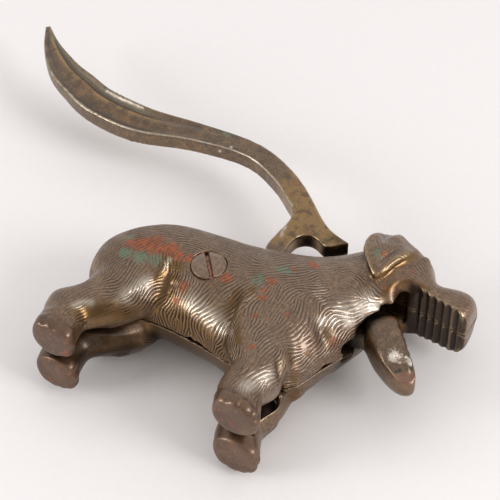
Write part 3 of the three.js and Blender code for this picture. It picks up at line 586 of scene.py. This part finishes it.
def hair_cover(p, normal, side, outer, rim):
    """How strongly the hair shows: less on the face, paws, ear and hidden side, and none on the soles."""
    x, y, z = p.T
    fur = outer * rise(0.4, 1.6, z) * rise(SOLE + 5, SOLE + 9, y)
    under_rear_leg = (y < -44) & (normal[:, 1] < -0.25) & (x < -50)
    fur *= 1 - 0.75 * under_rear_leg
    inside_leg = (y < -38) & (normal[:, 2] < 0.1)
    fur *= 1 - inside_leg
    fur *= 1 - 0.45 * rise(14, 24, x) - 0.2 * rise(27, 33, x)
    if side == RIGHT:
        beyond_screw = rise(SCREW_RADIUS + 0.4, SCREW_RADIUS + 1.2, from_screw(p))
        fur *= np.where(z > SCREW_Z, beyond_screw, 1)
    fur *= 1 - rim
    ear = (x > -4) & (x < 16) & (y > 10) & (z > 15)
    fur *= np.where(ear, 0.4, 1) * rise(1, 2.6, distance(p, EAR_GROOVE)[0])
    if side == LEFT:
        fur *= rise(3, 10, z)
    hock = rise(-64, -74, x) * rise(-38, -46, y)
    fur *= 1 - 0.4 * hock
    fur *= 1 - 0.8 * around(p, CHEEK_KNOT, 8)
    return fur * np.clip(0.72 + 0.28 * waves(p, 9, SEED + 3) + 0.14 * waves(p, 3, SEED + 4), 0.1, 1)


def strands(skin, p, normal):
    """Each point's place between the strands, as a complex number that is real and positive on a strand."""
    flow = combed(p, normal)
    for _ in range(6):
        flow = laid(skin.mean(flow), normal)
    bend = 0.26 * waves(p, 13, SEED) + 0.12 * waves(p, 6, SEED + 1)
    across = np.cross(normal, flow)
    across = np.cos(bend)[:, None] * across + np.sin(bend)[:, None] * flow
    pitch = HAIR_PITCH * (1 + 0.16 * np.clip(waves(p, 7, SEED + 5), -1.5, 1.5))
    pitch *= 1 + 0.32 * patches(p, COARSE)
    return hair_phase(p, across * (2 * math.pi / pitch)[:, None], normal)


def painted_shade(skin, p, side, hidden, inner):
    """Painted shade: how dark to paint sheltered places, the open legs, the far side's legs and hollows."""
    x, y, _ = p.T
    dark = np.maximum(rise(0.3, 0.85, hidden), skin.spread(inner, 3))
    # Painted shade over the far side's legs
    if side == LEFT:
        shade = 0.25 + 0.55 * (1 - rise(-44, -39, y)) * (x < MIDDLE_X)
        dark = np.maximum(dark, shade * (0.2 + 0.8 * rise(SOLE + 2, SOLE + 8, y)))
    for path, width, strength, only in SHADOWS:
        if only == side:
            dark = np.maximum(dark, strength * beside(p, path, width))
    return dark * (1 - 0.75 * beside(p, CHEEK_WALL, 2.4))


def cast_half(node, side, name, material):
    """Half of the dog: its form, its hair, and the fields that its material reads."""
    skin = Skin(node, CAST_VOXEL)
    turn = np.array([1, 1, side])
    skin.relax(freedom(skin.at * turn), 90)
    p = skin.at * turn
    hidden = shelter(skin)
    palate = rise(19, 22.5, p[:, 0]) * (p[:, 1] > 8) * (p[:, 1] < 19) * (skin.normals()[:, 1] < -0.5)
    outer = (1 - rise(0.62, 0.8, hidden)) * rise(0.2, 0.6, p[:, 2]) * (1 - palate)
    inner = shape_half(skin, p, side, outer)

    p, normal = skin.at * turn, skin.normals() * turn
    x, y, z = p.T
    bulge = skin.bulge(26)
    rim = 1 - rise(1.2, 3.4, from_side(p, LIP_RIM))
    rim *= (y > 1) * rise(6, 9, z)
    fur = skin.spread(hair_cover(p, normal, side, outer, rim), 3)
    wave = strands(skin, p, normal)
    skin.at += (HAIR_DEPTH / 2 * fur * wave.real)[:, None] * (normal * turn)

    rust, verdigris = RUST, VERDIGRIS
    if side == LEFT:
        rng = np.random.default_rng(SEED + 2)
        rust, verdigris = scattered(RUST, rng), scattered(VERDIGRIS, rng)
    skin.keep("hair_c", wave.real)
    skin.keep("hair_s", wave.imag)
    skin.keep("fur", fur)
    brim = np.where((z > SCREW_Z) & (from_screw(p) < SCREW_RADIUS + 1.4), 0.3, 1)
    skin.keep("worn", np.clip(bulge / CAST_WEAR, -1, 1) * np.maximum(outer, palate) * brim)
    underside = 0.75 * rise(0.15, 0.85, -normal[:, 1]) * (y > SOLE + 8)
    skin.keep("gilt", np.maximum(underside, strongest(p, GILT)) * outer)
    # Polished places, which also get a painted highlight
    skin.keep("polish_and_highlight", strongest(p, POLISH_AND_HIGHLIGHT) * outer)
    skin.keep("rust", np.maximum(patches(p, rust), 0.55 * patches(p, TINT)) * outer)
    skin.keep("green", patches(p, verdigris) * outer)
    skin.keep("sole", np.maximum(1 - rise(SOLE + 3, SOLE + 9, y), 0.45 * rim * (x < 24)))
    # Painted shade: sheltered places, the open front legs, shadowed hollows and the palate
    skin.keep("shaded_inside", np.clip(painted_shade(skin, p, side, hidden, inner) + 0.9 * palate, 0, 1))
    return skin.finish(name, "dog", node, material)


class Nodes:
    """Makes and links the nodes of one tree."""

    def __init__(self, tree):
        self.tree = tree

    def node(self, kind, inputs=None, **settings):
        made = self.tree.nodes.new(kind)
        for key, value in settings.items():
            setattr(made, key, value)
        for key, value in (inputs or {}).items():
            self.set(made.inputs[key], value)
        return made

    def set(self, socket, value):
        if isinstance(value, bpy.types.NodeSocket):
            self.tree.links.new(value, socket)
        else:
            socket.default_value = tone(value) if isinstance(value, str) else value

    def between(self, value, low, high, to_low=0.0, to_high=1.0):
        inputs = {0: value, 1: low, 2: high, 3: to_low, 4: to_high}
        return self.node("ShaderNodeMapRange", inputs, interpolation_type="SMOOTHSTEP").outputs[0]


class Look(Nodes):
    """A node material around one Principled shader, in millimetres about the object's origin."""

    def __init__(self, name):
        self.material = bpy.data.materials.new(name)
        self.material.use_nodes = True
        super().__init__(self.material.node_tree)
        self.shader = self.tree.nodes["Principled BSDF"]
        place = self.node("ShaderNodeTexCoord").outputs["Object"]
        in_mm = self.node("ShaderNodeVectorMath", {0: place, "Scale": float(MM)}, operation="SCALE")
        self.place = in_mm.outputs[0]
        self.colour = None

    def field(self, name):
        return self.node("ShaderNodeAttribute", attribute_name=name).outputs["Fac"]

    def noise(self, length, detail=3.0, rough=0.55):
        inputs = {"Vector": self.place, "Scale": 1 / length, "Detail": detail, "Roughness": rough}
        return self.node("ShaderNodeTexNoise", inputs).outputs[0]

    def math(self, how, a, b=0.0, c=0.0):
        return self.node("ShaderNodeMath", {0: a, 1: b, 2: c}, operation=how).outputs[0]

    def times(self, first, *others):
        for other in others:
            first = self.math("MULTIPLY", first, other)
        return first

    def line(self, value, slope, start):
        """The value times the slope, plus the start."""
        return self.math("MULTIPLY_ADD", value, slope, start)

    def centred(self, noise, strength):
        """Noise about 0, of that strength."""
        return self.times(self.math("SUBTRACT", noise, 0.5), strength)

    def mix(self, share, a, b):
        return self.node("ShaderNodeMix", {0: share, 6: a, 7: b}, data_type="RGBA").outputs[2]

    def paint(self, shade, share):
        """Lay a named tone, or a socket's colour, over the colour so far."""
        self.colour = self.mix(share, self.colour, shade)

    def stain(self, shade, value, *ramp):
        """Paint by a value that is ramped first. Gives the share."""
        share = self.between(value, *ramp)
        self.paint(shade, share)
        return share

    def bump(self, height, distance, strength=1.0, under=None):
        inputs = {"Height": height, "Distance": distance / MM, "Strength": strength}
        made = self.node("ShaderNodeBump", inputs)
        if under is not None:
            self.set(made.inputs["Normal"], under)
        return made.outputs[0]

    def shade(self, **sockets):
        for key, value in {"Base_Color": self.colour, **sockets}.items():
            self.set(self.shader.inputs[key.replace("_", " ")], value)
        return self.material


# Colours as they look on screen, 0 to 255
TONES = {
    "brown": (120, 88, 58), "pale brown": (138, 107, 77), "rubbed": (118, 86, 44),
    "worn edge": (165, 142, 108), "blotch": (98, 71, 47), "fleck": (70, 49, 32), "dark speck": (62, 43, 29),
    "pale speck": (182, 152, 122), "sole": (84, 57, 39), "pale sole": (110, 79, 57),
    # The polished places' pale tone is a painted highlight over the brass
    "sole rust": (150, 90, 58), "sole dirt": (60, 43, 34), "dirt": (60, 46, 34), "polished_highlight": (214, 202, 184),
    "strand": (158, 128, 98), "valley": (42, 29, 20), "verdigris": (98, 126, 104), "rust": (170, 86, 46),
    # The darkest casting tone is painted shade
    "dull rust": (122, 70, 44), "painted valley": (66, 47, 34), "shaded_inside": (38, 28, 21),
    "lever": (102, 79, 51), "pale lever": (116, 92, 63), "rubbed lever": (154, 119, 66),
    "lever stain": (116, 78, 52), "dark mottle": (74, 56, 37), "light mottle": (150, 116, 70),
    # The greenish grey of the leaf's upper flute is a painted reflection
    "flute_reflection": (140, 132, 112), "lever dirt": (58, 44, 32), "lever rust": (140, 94, 76),
    # The near-white lever tones are painted highlights, on bare metal too, and the darkest lever tone is
    # painted shade
    "glint": (214, 204, 190), "bare_and_highlight": (228, 216, 202), "pit": (40, 32, 26), "painted lever shade": (28, 22, 17),
    "screw slot": (190, 118, 66), "dark slot": (98, 60, 37), "steel": (134, 132, 130),
    "dark steel": (92, 86, 80), "floor": (241, 237, 236), "pale floor": (245, 241, 240),
}
# Thin clear layer that gives the brown metal its white highlights
COAT = {"Coat_IOR": 2.1, "Coat_Roughness": 0.25}


def tone(name):
    """A named colour for a shader socket."""
    def linear(value):
        value /= 255
        return value / 12.92 if value <= 0.04045 else ((value + 0.055) / 1.055) ** 2.4
    return tuple(linear(value) for value in TONES[name]) + (1,)


def patina(look, gilt, worn, dark="brown", pale="pale brown", rubbed="rubbed"):
    """Brown patina over brass that shows where it is rubbed. Gives metal, roughness and two noises."""
    cloud = look.noise(16, 4)
    fleck = look.noise(1.5, 4, 0.65)
    speck = look.noise(0.8, 4, 0.7)
    look.colour = look.mix(look.between(cloud, 0.35, 0.65), dark, pale)
    look.stain("blotch", look.noise(5, 5, 0.6), 0.45, 0.7, 0, 0.45)
    look.stain("fleck", fleck, 0.4, 0.7, 0, 0.7)
    look.stain("dark speck", speck, 0.36, 0.46, 0.55, 0)
    look.stain("pale speck", speck, 0.56, 0.66, 0, 0.35)
    rub = look.stain(rubbed, look.math("ADD", look.centred(fleck, 1.1), gilt), 0.2, 0.9)
    edge = look.stain("worn edge", look.math("ADD", look.centred(fleck, 0.8), worn), 0.45, 1.0, 0, 0.8)
    bright = look.math("MAXIMUM", rub, edge)
    metal = look.between(bright, 0, 1, 0.7, 1.0)
    rough = look.between(bright, 0, 1, 0.36, 0.28)
    return metal, rough, fleck, cloud


def casting_look():
    look = Look("casting")
    fur, worn, sole, gilt = (look.field(name) for name in ("fur", "worn", "sole", "gilt"))
    # The strands and the valleys between them
    c, s = look.field("hair_c"), look.field("hair_s")
    size = look.math("SQRT", look.math("ADD", look.times(c, c), look.times(s, s)))
    strand = look.math("DIVIDE", c, look.math("MAXIMUM", size, 0.25))
    dip = look.line(strand, -0.5, 0.5)
    valley = look.times(dip, dip, fur)
    ridge = look.math("SUBTRACT", fur, look.times(dip, fur))
    # Patina, with browner soles, dirt in the hollows, and polish where hands rub, painted pale as a
    # highlight
    metal, rough, fleck, cloud = patina(look, gilt, look.times(worn, 0.9))
    paw = look.mix(look.between(cloud, 0.4, 0.65), "sole", "pale sole")
    paw = look.mix(look.between(look.noise(2, 6, 0.75), 0.55, 0.68, 0, 0.8), paw, "sole rust")
    paw = look.mix(look.between(look.noise(1.1, 5, 0.7), 0.36, 0.48, 0.6, 0), paw, "sole dirt")
    look.paint(paw, look.times(sole, 0.85))
    look.stain("dirt", look.times(worn, -1.0), 0.2, 1.0, 0, 0.8)
    polish_and_highlight = look.times(look.field("polish_and_highlight"), look.between(fleck, 0.3, 0.6, 0.5, 1.0))
    # Painted highlight: the polished places are painted pale, as well as made more metallic and coated
    look.paint("polished_highlight", look.times(polish_and_highlight, 0.7))
    metal = look.math("MAXIMUM", metal, polish_and_highlight)
    look.paint("strand", look.times(ridge, ridge, 0.45))
    look.paint("valley", look.times(valley, look.line(polish_and_highlight, -0.35, 0.9)))
    # Ragged rust and verdigris
    ragged = look.centred(look.noise(1.3, 6, 0.75), 2.6)
    shift = look.math("ADD", ragged, look.centred(look.noise(4, 3), 1.4))
    green = look.stain("verdigris", look.line(look.field("green"), 0.85, shift), 0.3, 0.9, 0, 0.75)
    rusty = look.mix(look.between(fleck, 0.35, 0.65), "rust", "dull rust")
    rust = look.stain(rusty, look.math("ADD", look.field("rust"), shift), 0.56, 0.8, 0, 0.85)
    crust = look.math("MAXIMUM", rust, green)
    look.paint("painted valley", look.times(valley, look.times(crust, 0.6)))
    # Painted shade, lighter on bulging edges
    shaded_inside = look.times(look.field("shaded_inside"), look.between(worn, 0.35, 0.9, 1.0, 0.5))
    look.paint("shaded_inside", look.times(shaded_inside, 0.92))
    metal = look.times(metal, look.line(crust, -0.9, 1.0))
    rough = look.math("MAXIMUM", rough, look.times(crust, 0.65))
    rough = look.line(look.times(valley, dip), 0.12, rough)
    rough = look.line(sole, 0.12, rough)
    coat = look.times(look.line(polish_and_highlight, 0.4, 0.4), look.math("SUBTRACT", 1.0, crust))
    for field, loss in (shaded_inside, 0.9), (sole, 0.3), (gilt, 0.6):
        coat = look.times(coat, look.line(field, -loss, 1.0))
    normal = look.bump(look.times(valley, -1.0), 0.2, 0.9, look.bump(fleck, 0.12, 0.5))
    return look.shade(Metallic=metal, Roughness=rough, Normal=normal,
                      Coat_Weight=coat, Coat_Normal=normal, **COAT)


# Tail: axis and half width, from the fork to the tip
TAIL = [(-37.5, 43.7, 4.6), (-51.7, 54.5, 4.6), (-70.1, 61.8, 4.5), (-95.1, 60.3, 5.5), (-116.7, 56, 7.7),
        (-130, 56, 8.2), (-142.7, 58.2, 8), (-152.9, 62.4, 7.6), (-163.5, 67.2, 6.7), (-172.3, 73.4, 5.2),
        (-180.4, 80.6, 3.2), (-188.6, 90, 1.1)]
# Lower jaw, by x and y: where its face starts, its direction, and the line of its teeth
JAW_START = np.array([22.7, 3.8])
JAW_HEADING = np.array([0.657, -0.754])
JAW_TEETH = [(23, 3.4), (38, -13.8)]
# Pits near the tip of the lower jaw, and a bump: path, height and width
JAW_FORMS = [
    ([(31.5, -14.8, 7), (33.4, -17, 6.6)], -0.8, 1),
    ([(29.4, -14.6, 7.2), (30.6, -16.4, 6.8)], -0.5, 0.8),
    ([(27.4, -10.6, 7.4), (28.6, -12, 7.3)], 0.4, 1.6),
]
# Along the jaw's face: how deep it is worn, how rusty it is, and how bare with a painted highlight
JAW_WORN = ((12.5, 14.5, 17, 21, 23, 25, 28), (0, 0.5, 1.7, 1.7, 2.1, 1.4, 0.2))
JAW_RUST = ((5, 12, 23, 24.5, 28), (0.65, 0.5, 0.6, 1.2, 1.1))
JAW_BARE_AND_HIGHLIGHT = ((10, 13.5, 18, 21, 22.5), (0, 0.3, 0.35, 0.2, 0))
# Bare spots on the jaw's face, painted pale as a highlight: place and radius
BARE_HIGHLIGHT_SPOTS = [((29.1, -11.4), 2.4), ((35.2, -11.2), 1.5)]
# Rust on the fork: place and strength
FORK_RUST = [((-41, 48), 0.45), ((-51.8, 53.8), 0.7), ((-46, 43), 0.5)]
# Painted highlights on the lever: a streak on the leaf, two spots on the tail's edge, and the heel of the
# fork
STREAK = [(-141.2, 64.3), (-134.4, 62.9), (-128.2, 62.5), (-122.2, 62.1)]
PALE_SPOTS = [(-82.4, 56.9, 0.9), (-78.3, 58.7, 3.4)]
HEEL = [(-41.5, 41.5), (-39.6, 37.3), (-37.5, 30), (-36.3, 24)]
VERDIGRIS_X, VERDIGRIS_Y = -83.8, 64.4
# Painted shade on the lever: round the hub, and the spur behind the head
HUB = (-2, 2)
SPUR = [(-17, 33.5), (-10, 31.5)]
# The leaf's flat faces lie behind this x
LEAF_X = -60


def flowing(points, steps=12):
    """Catmull-Rom curve through the points."""
    points = np.array(points, float)
    ends = np.vstack([2 * points[0] - points[1], points, 2 * points[-1] - points[-2]])
    curve = []
    for a, b, c, d in zip(ends[:-3], ends[1:-2], ends[2:-1], ends[3:]):
        square, cube = 2 * a - 5 * b + 4 * c - d, 3 * b - a - 3 * c + d
        for t in np.linspace(0, 1, steps, endpoint=False):
            curve.append(0.5 * (2 * b + (c - a) * t + square * t ** 2 + cube * t ** 3))
    return np.array(curve + [points[-1]])


def tail_place(p):
    """Place on the tail: across it, from -1 at its lower edge to 1 at its upper one, and along it."""
    axis = flowing(TAIL)
    along = distance(p[:, :2], axis[:, :2])[1]
    steps = np.linspace(0, 1, len(axis))
    x, y, half = (np.interp(along, steps, axis[:, k]) for k in range(3))
    ahead = unit(np.stack([np.interp(along, steps, np.gradient(axis[:, k])) for k in (0, 1)], 1))
    return (ahead[:, 1] * (p[:, 0] - x) - ahead[:, 0] * (p[:, 1] - y)) / half, along


def wear_jaw(skin):
    """The jaw's pitted face, worn towards its tip. Gives masks of the jaw and its face, and the reach."""
    p, normal = skin.at, skin.normals()
    jaw = rise(13, 16, p[:, 0]) * (p[:, 1] < 8)
    lift = 0.06 * jaw * waves(p, 4, SEED) + 0.03 * jaw * waves(p, 1.8, SEED + 1)
    for path, height, width in JAW_FORMS:
        lift += height * beside(p, path, width)
    skin.at = p + lift[:, None] * normal
    reach = (p[:, :2] - JAW_START) @ JAW_HEADING
    top = rise(0.3, 0.8, normal[:, 2]) * jaw
    uneven = 1 + 0.3 * waves(p, 3.2, SEED + 6) + 0.2 * waves(p, 1.6, SEED + 7)
    skin.at[:, 2] -= np.interp(reach, *JAW_WORN) * uneven * top
    toothed = from_side(p, JAW_TEETH) < 2
    skin.relax(jaw * (1 - 0.75 * toothed), 50)
    return jaw, top, reach


def lever():
    """The lever: the ribbed leaf of the tail, the worn jaw, and the fields that its material reads."""
    skin = Skin("tail_jaw_lever", LEVER_VOXEL)
    skin.relax(np.ones(len(skin.at)), 2)
    p, normal = skin.at, skin.normals()
    across, along = tail_place(p)
    leaf = rise(0.3, 0.42, along) * (1 - rise(0.93, 1, along))
    face = rise(0.5, 0.8, np.abs(normal[:, 2])) * (p[:, 0] < LEAF_X)
    rib = bell(across, 0.25, 0.14) * leaf
    rim = bell(np.abs(across), 0.9, 0.09) * leaf
    trough = (bell(across, -0.38, 0.3) + 0.8 * bell(across, 0.62, 0.14)) * leaf
    skin.at = p + ((0.6 * rib + 0.5 * rim - 0.5 * trough) * face)[:, None] * normal
    skin.relax(np.ones(len(skin.at)), 2)
    jaw, top, reach = wear_jaw(skin)

    p, normal = skin.at, skin.normals()
    x, y, _ = p.T
    facing = normal[:, 2]
    hidden = shelter(skin)
    stem = rise(-62, -45, x) * rise(12, 24, y)
    skin.keep("worn", np.clip(skin.bulge(16) / LEVER_WEAR, -1, 1) * (1 - 0.6 * jaw))
    gilt = 1.1 * rib * face + 0.7 * stem + 0.2 * (x < LEAF_X) + 0.3 * jaw * (facing < 0.8)
    skin.keep("gilt", np.clip(gilt, 0, 1.1))
    rust = jaw * rise(0.8, 0.97, facing) * np.interp(reach, *JAW_RUST)
    rust = np.maximum(rust, 1.1 * jaw * rise(21.5, 23.5, reach) * rise(0, 0.5, facing))
    for spot, level in FORK_RUST:
        rust += level * around(p[:, :2], spot, 7)
    skin.keep("rust", rust + bell(across, 0.97, 0.1) * leaf)
    # Painted reflection: the leaf's upper flute is painted greenish grey
    skin.keep("flute_reflection", bell(across, 0.66, 0.2) * leaf * face)
    # Painted highlights: a streak on the leaf, spots on the tail's edge and the heel of the fork
    glint = 0.62 * beside(p[:, :2], STREAK, 0.7) * face
    for spot in PALE_SPOTS:
        glint = np.maximum(glint, 0.8 * around(p, spot, 1.2))
    glint = np.maximum(glint, 0.6 * beside(p[:, :2], HEEL, 1.1) * (facing > 0.5))
    # Painted highlight: a thin pale line along the tail's lower edge
    lower_edge = bell(across, -0.95, 0.07) * rise(0.2, 0.7, facing) * (x < -40)
    skin.keep("glint", np.maximum(glint, 0.7 * lower_edge))
    skin.keep("green", np.exp(-((x - VERDIGRIS_X) ** 2 / 9 + (y - VERDIGRIS_Y) ** 2 / 2)) * (facing > 0))
    # Bare metal on the jaw's face, with a painted highlight
    bare_and_highlight = np.interp(reach, *JAW_BARE_AND_HIGHLIGHT)
    for spot, radius in BARE_HIGHLIGHT_SPOTS:
        bare_and_highlight += 0.6 * around(p[:, :2], spot, radius ** 2)
    skin.keep("bare_and_highlight", top * bare_and_highlight)
    skin.keep("pit", top * 0.6 * bell(reach, 21.4, 1.8))
    # Painted shade round the hub and on the spur, as well as in sheltered places
    arm = (1 - rise(17.5, 20.5, np.hypot(x - HUB[0], y - HUB[1]))) * (y < 12)
    spur = 0.6 * beside(p[:, :2], SPUR, 3.2)
    skin.keep("shaded_inside", np.maximum(rise(0.3, 0.85, hidden), np.maximum(arm, spur)))
    return skin.finish("lever_casting", "lever", "tail_jaw_lever", lever_look())


def lever_look():
    look = Look("lever")
    worn, shaded_inside = look.field("worn"), look.field("shaded_inside")
    lever_tones = ("lever", "pale lever", "rubbed lever")
    metal, rough, fleck, _ = patina(look, look.field("gilt"), look.times(worn, 0.8), *lever_tones)
    mottle = look.noise(4.5, 6, 0.7)
    look.stain("lever stain", look.noise(8, 5, 0.65), 0.52, 0.66, 0, 0.6)
    look.stain("dark mottle", mottle, 0.5, 0.64, 0, 0.75)
    look.stain("light mottle", mottle, 0.34, 0.47, 0.5, 0)
    # Painted reflection in the upper flute
    look.paint("flute_reflection", look.times(look.field("flute_reflection"), 0.6))
    look.stain("lever dirt", look.times(worn, -1.0), 0.2, 1.0, 0, 0.75)
    # Ragged rust, verdigris, painted glints, bare metal with a painted highlight, and pits
    shift = look.centred(look.noise(2.2, 5, 0.7), 1.6)
    rust = look.stain("lever rust", look.math("ADD", look.field("rust"), shift), 0.55, 1.0, 0, 0.6)
    rough = look.line(rust, 0.15, rough)
    look.stain("verdigris", look.math("ADD", look.field("green"), shift), 0.4, 0.8, 0, 0.6)
    # Painted highlights
    look.stain("glint", look.line(shift, 0.8, look.field("glint")), 0.2, 0.9, 0, 0.9)
    # Bare metal, painted near white as a highlight
    bare_and_highlight = look.stain("bare_and_highlight", look.math("ADD", look.field("bare_and_highlight"), shift), 0.45, 0.8, 0, 0.9)
    rough = look.line(bare_and_highlight, -0.12, rough)
    metal = look.math("MAXIMUM", metal, bare_and_highlight)
    look.stain("pit", look.math("ADD", look.field("pit"), shift), 0.45, 0.7)
    # Painted shade
    look.paint("painted lever shade", look.times(shaded_inside, 0.95))
    pitting = look.line(look.field("bare_and_highlight"), 1.2, 0.15)
    normal = look.bump(look.noise(0.8, 5, 0.7), 0.3, pitting, look.bump(fleck, 0.14, 0.55))
    return look.shade(Metallic=metal, Roughness=rough, Normal=normal,
                      Coat_Weight=look.line(shaded_inside, -0.35, 0.38), Coat_Normal=normal, **COAT)


def screw():
    """The slotted screw, its rim worn below its middle and its slot rusty."""
    skin = Skin("body_screw", SCREW_VOXEL)
    skin.relax(np.ones(len(skin.at)), 3)
    below = skin.at[:, 2].max() - skin.at[:, 2]
    ring = from_screw(skin.at)
    slot = rise(0.35, 0.8, below) * (ring < SCREW_RADIUS - 0.4)
    rim = rise(0.55, 1, ring / SCREW_RADIUS) * (below < 1.2)
    skin.at[:, 2] -= 0.45 * rim
    skin.keep("worn", np.clip(skin.bulge(16) / SCREW_WEAR, -1, 1))
    skin.keep("rust", slot)
    return skin.finish("slotted_screw", "dog", "body_screw", screw_look())


def screw_look():
    look = Look("screw")
    worn, rust = look.field("worn"), look.field("rust")
    metal, rough, fleck, _ = patina(look, look.times(worn, 0.1), look.times(worn, 0.45))
    rusty = look.mix(look.between(fleck, 0.4, 0.6), "screw slot", "dark slot")
    look.paint(rusty, rust)
    metal = look.times(metal, look.line(rust, -0.9, 1.0))
    rough = look.math("MAXIMUM", rough, look.times(rust, 0.7))
    return look.shade(Metallic=metal, Roughness=rough, Normal=look.bump(fleck, 0.1, 0.4),
                      Coat_Weight=0.6, **COAT)


def pin_look():
    look = Look("steel")
    fleck = look.noise(1.2, 4)
    look.colour = look.mix(look.between(fleck, 0.35, 0.65), "steel", "dark steel")
    rough = look.between(fleck, 0.3, 0.7, 0.3, 0.5)
    return look.shade(Metallic=1.0, Roughness=rough, Normal=look.bump(fleck, 0.05, 0.5))


casting = casting_look()
cast_half("right_body_half", RIGHT, "right_casting", casting)
cast_half("left_body_half", LEFT, "left_casting", casting)
lever()
screw()
pin = frame["nodes"]["pivot_pin"].data.materials
pin.clear()
pin.append(pin_look())

# Camera as in the photograph: above the flank, before the dog's feet and a little to its front
CAMERA_FAR, MM_PER_PIXEL, PIXELS, SENSOR = 650, 0.38, 500, 36
AZIMUTH, ELEVATION = math.radians(29.6), math.radians(45)
VIEW_CENTRE = (-44.5, 14.6, 0)
level_part = math.cos(ELEVATION)
toward = Vector((math.sin(AZIMUTH) * level_part, -math.cos(AZIMUTH) * level_part, math.sin(ELEVATION)))
right = Vector((math.cos(AZIMUTH), math.sin(AZIMUTH), 0))
up = toward.cross(right)
target = Vector((PIVOT + VIEW_CENTRE) / MM)
lens = bpy.data.cameras.new("camera")
lens.sensor_width = SENSOR
lens.lens = SENSOR * CAMERA_FAR / (MM_PER_PIXEL * PIXELS)
camera = placed("camera", lens)
camera.matrix_world = Matrix((right, up, toward)).transposed().to_4x4()
camera.location = target + toward * CAMERA_FAR / MM
scene.camera = camera

# Pale floor, in metres
FLOOR_HALF = 3
corners = [(x * FLOOR_HALF, y * FLOOR_HALF, 0) for x, y in ((-1, -1), (1, -1), (1, 1), (-1, 1))]
floor_mesh = bpy.data.meshes.new("floor")
floor_mesh.from_pydata(corners, [], [(0, 1, 2, 3)])
floor = placed("floor", floor_mesh)
floor_look = Look("floor")
floor_look.colour = floor_look.mix(floor_look.noise(3), "floor", "pale floor")
floor_mesh.materials.append(floor_look.shade(Roughness=0.85))

# Two large soft lamps, their distance and size in metres: name, direction and power in watts
LAMP_FAR, LAMP_SIZE = 1.6, 0.75
LAMPS = [("right", (0.866, 0, 0.5), 11.7), ("left", (-0.664, -0.664, 0.342), 11)]
for name, heading, power in LAMPS:
    lamp = bpy.data.lights.new(name, "AREA")
    lamp.shape = "DISK"
    lamp.size = LAMP_SIZE
    lamp.energy = power
    light = placed(name, lamp)
    heading = Vector(heading).normalized()
    light.location = target + heading * LAMP_FAR
    light.rotation_euler = heading.to_track_quat("Z", "Y").to_euler()

# Room: pale behind and above the dog, dim on the camera's side
ROOM_HEADING = (0, 0.95, 0.3)
ROOM_FROM, ROOM_TO = -0.6, 0.8
ROOM_DIM, ROOM_PALE = 0.56, 0.82
ROOM_TINT = (1, 0.985, 0.98, 1)
world = bpy.data.worlds.new("world")
scene.world = world
world.use_nodes = True
room = Nodes(world.node_tree)
place = room.node("ShaderNodeTexCoord").outputs["Generated"]
facing = room.node("ShaderNodeVectorMath", {0: place, 1: ROOM_HEADING}, operation="DOT_PRODUCT")
level = room.between(facing.outputs["Value"], ROOM_FROM, ROOM_TO, ROOM_DIM, ROOM_PALE)
background = room.tree.nodes["Background"].inputs
room.set(background["Strength"], level)
room.set(background["Color"], ROOM_TINT)

scene.view_settings.view_transform = "Standard"
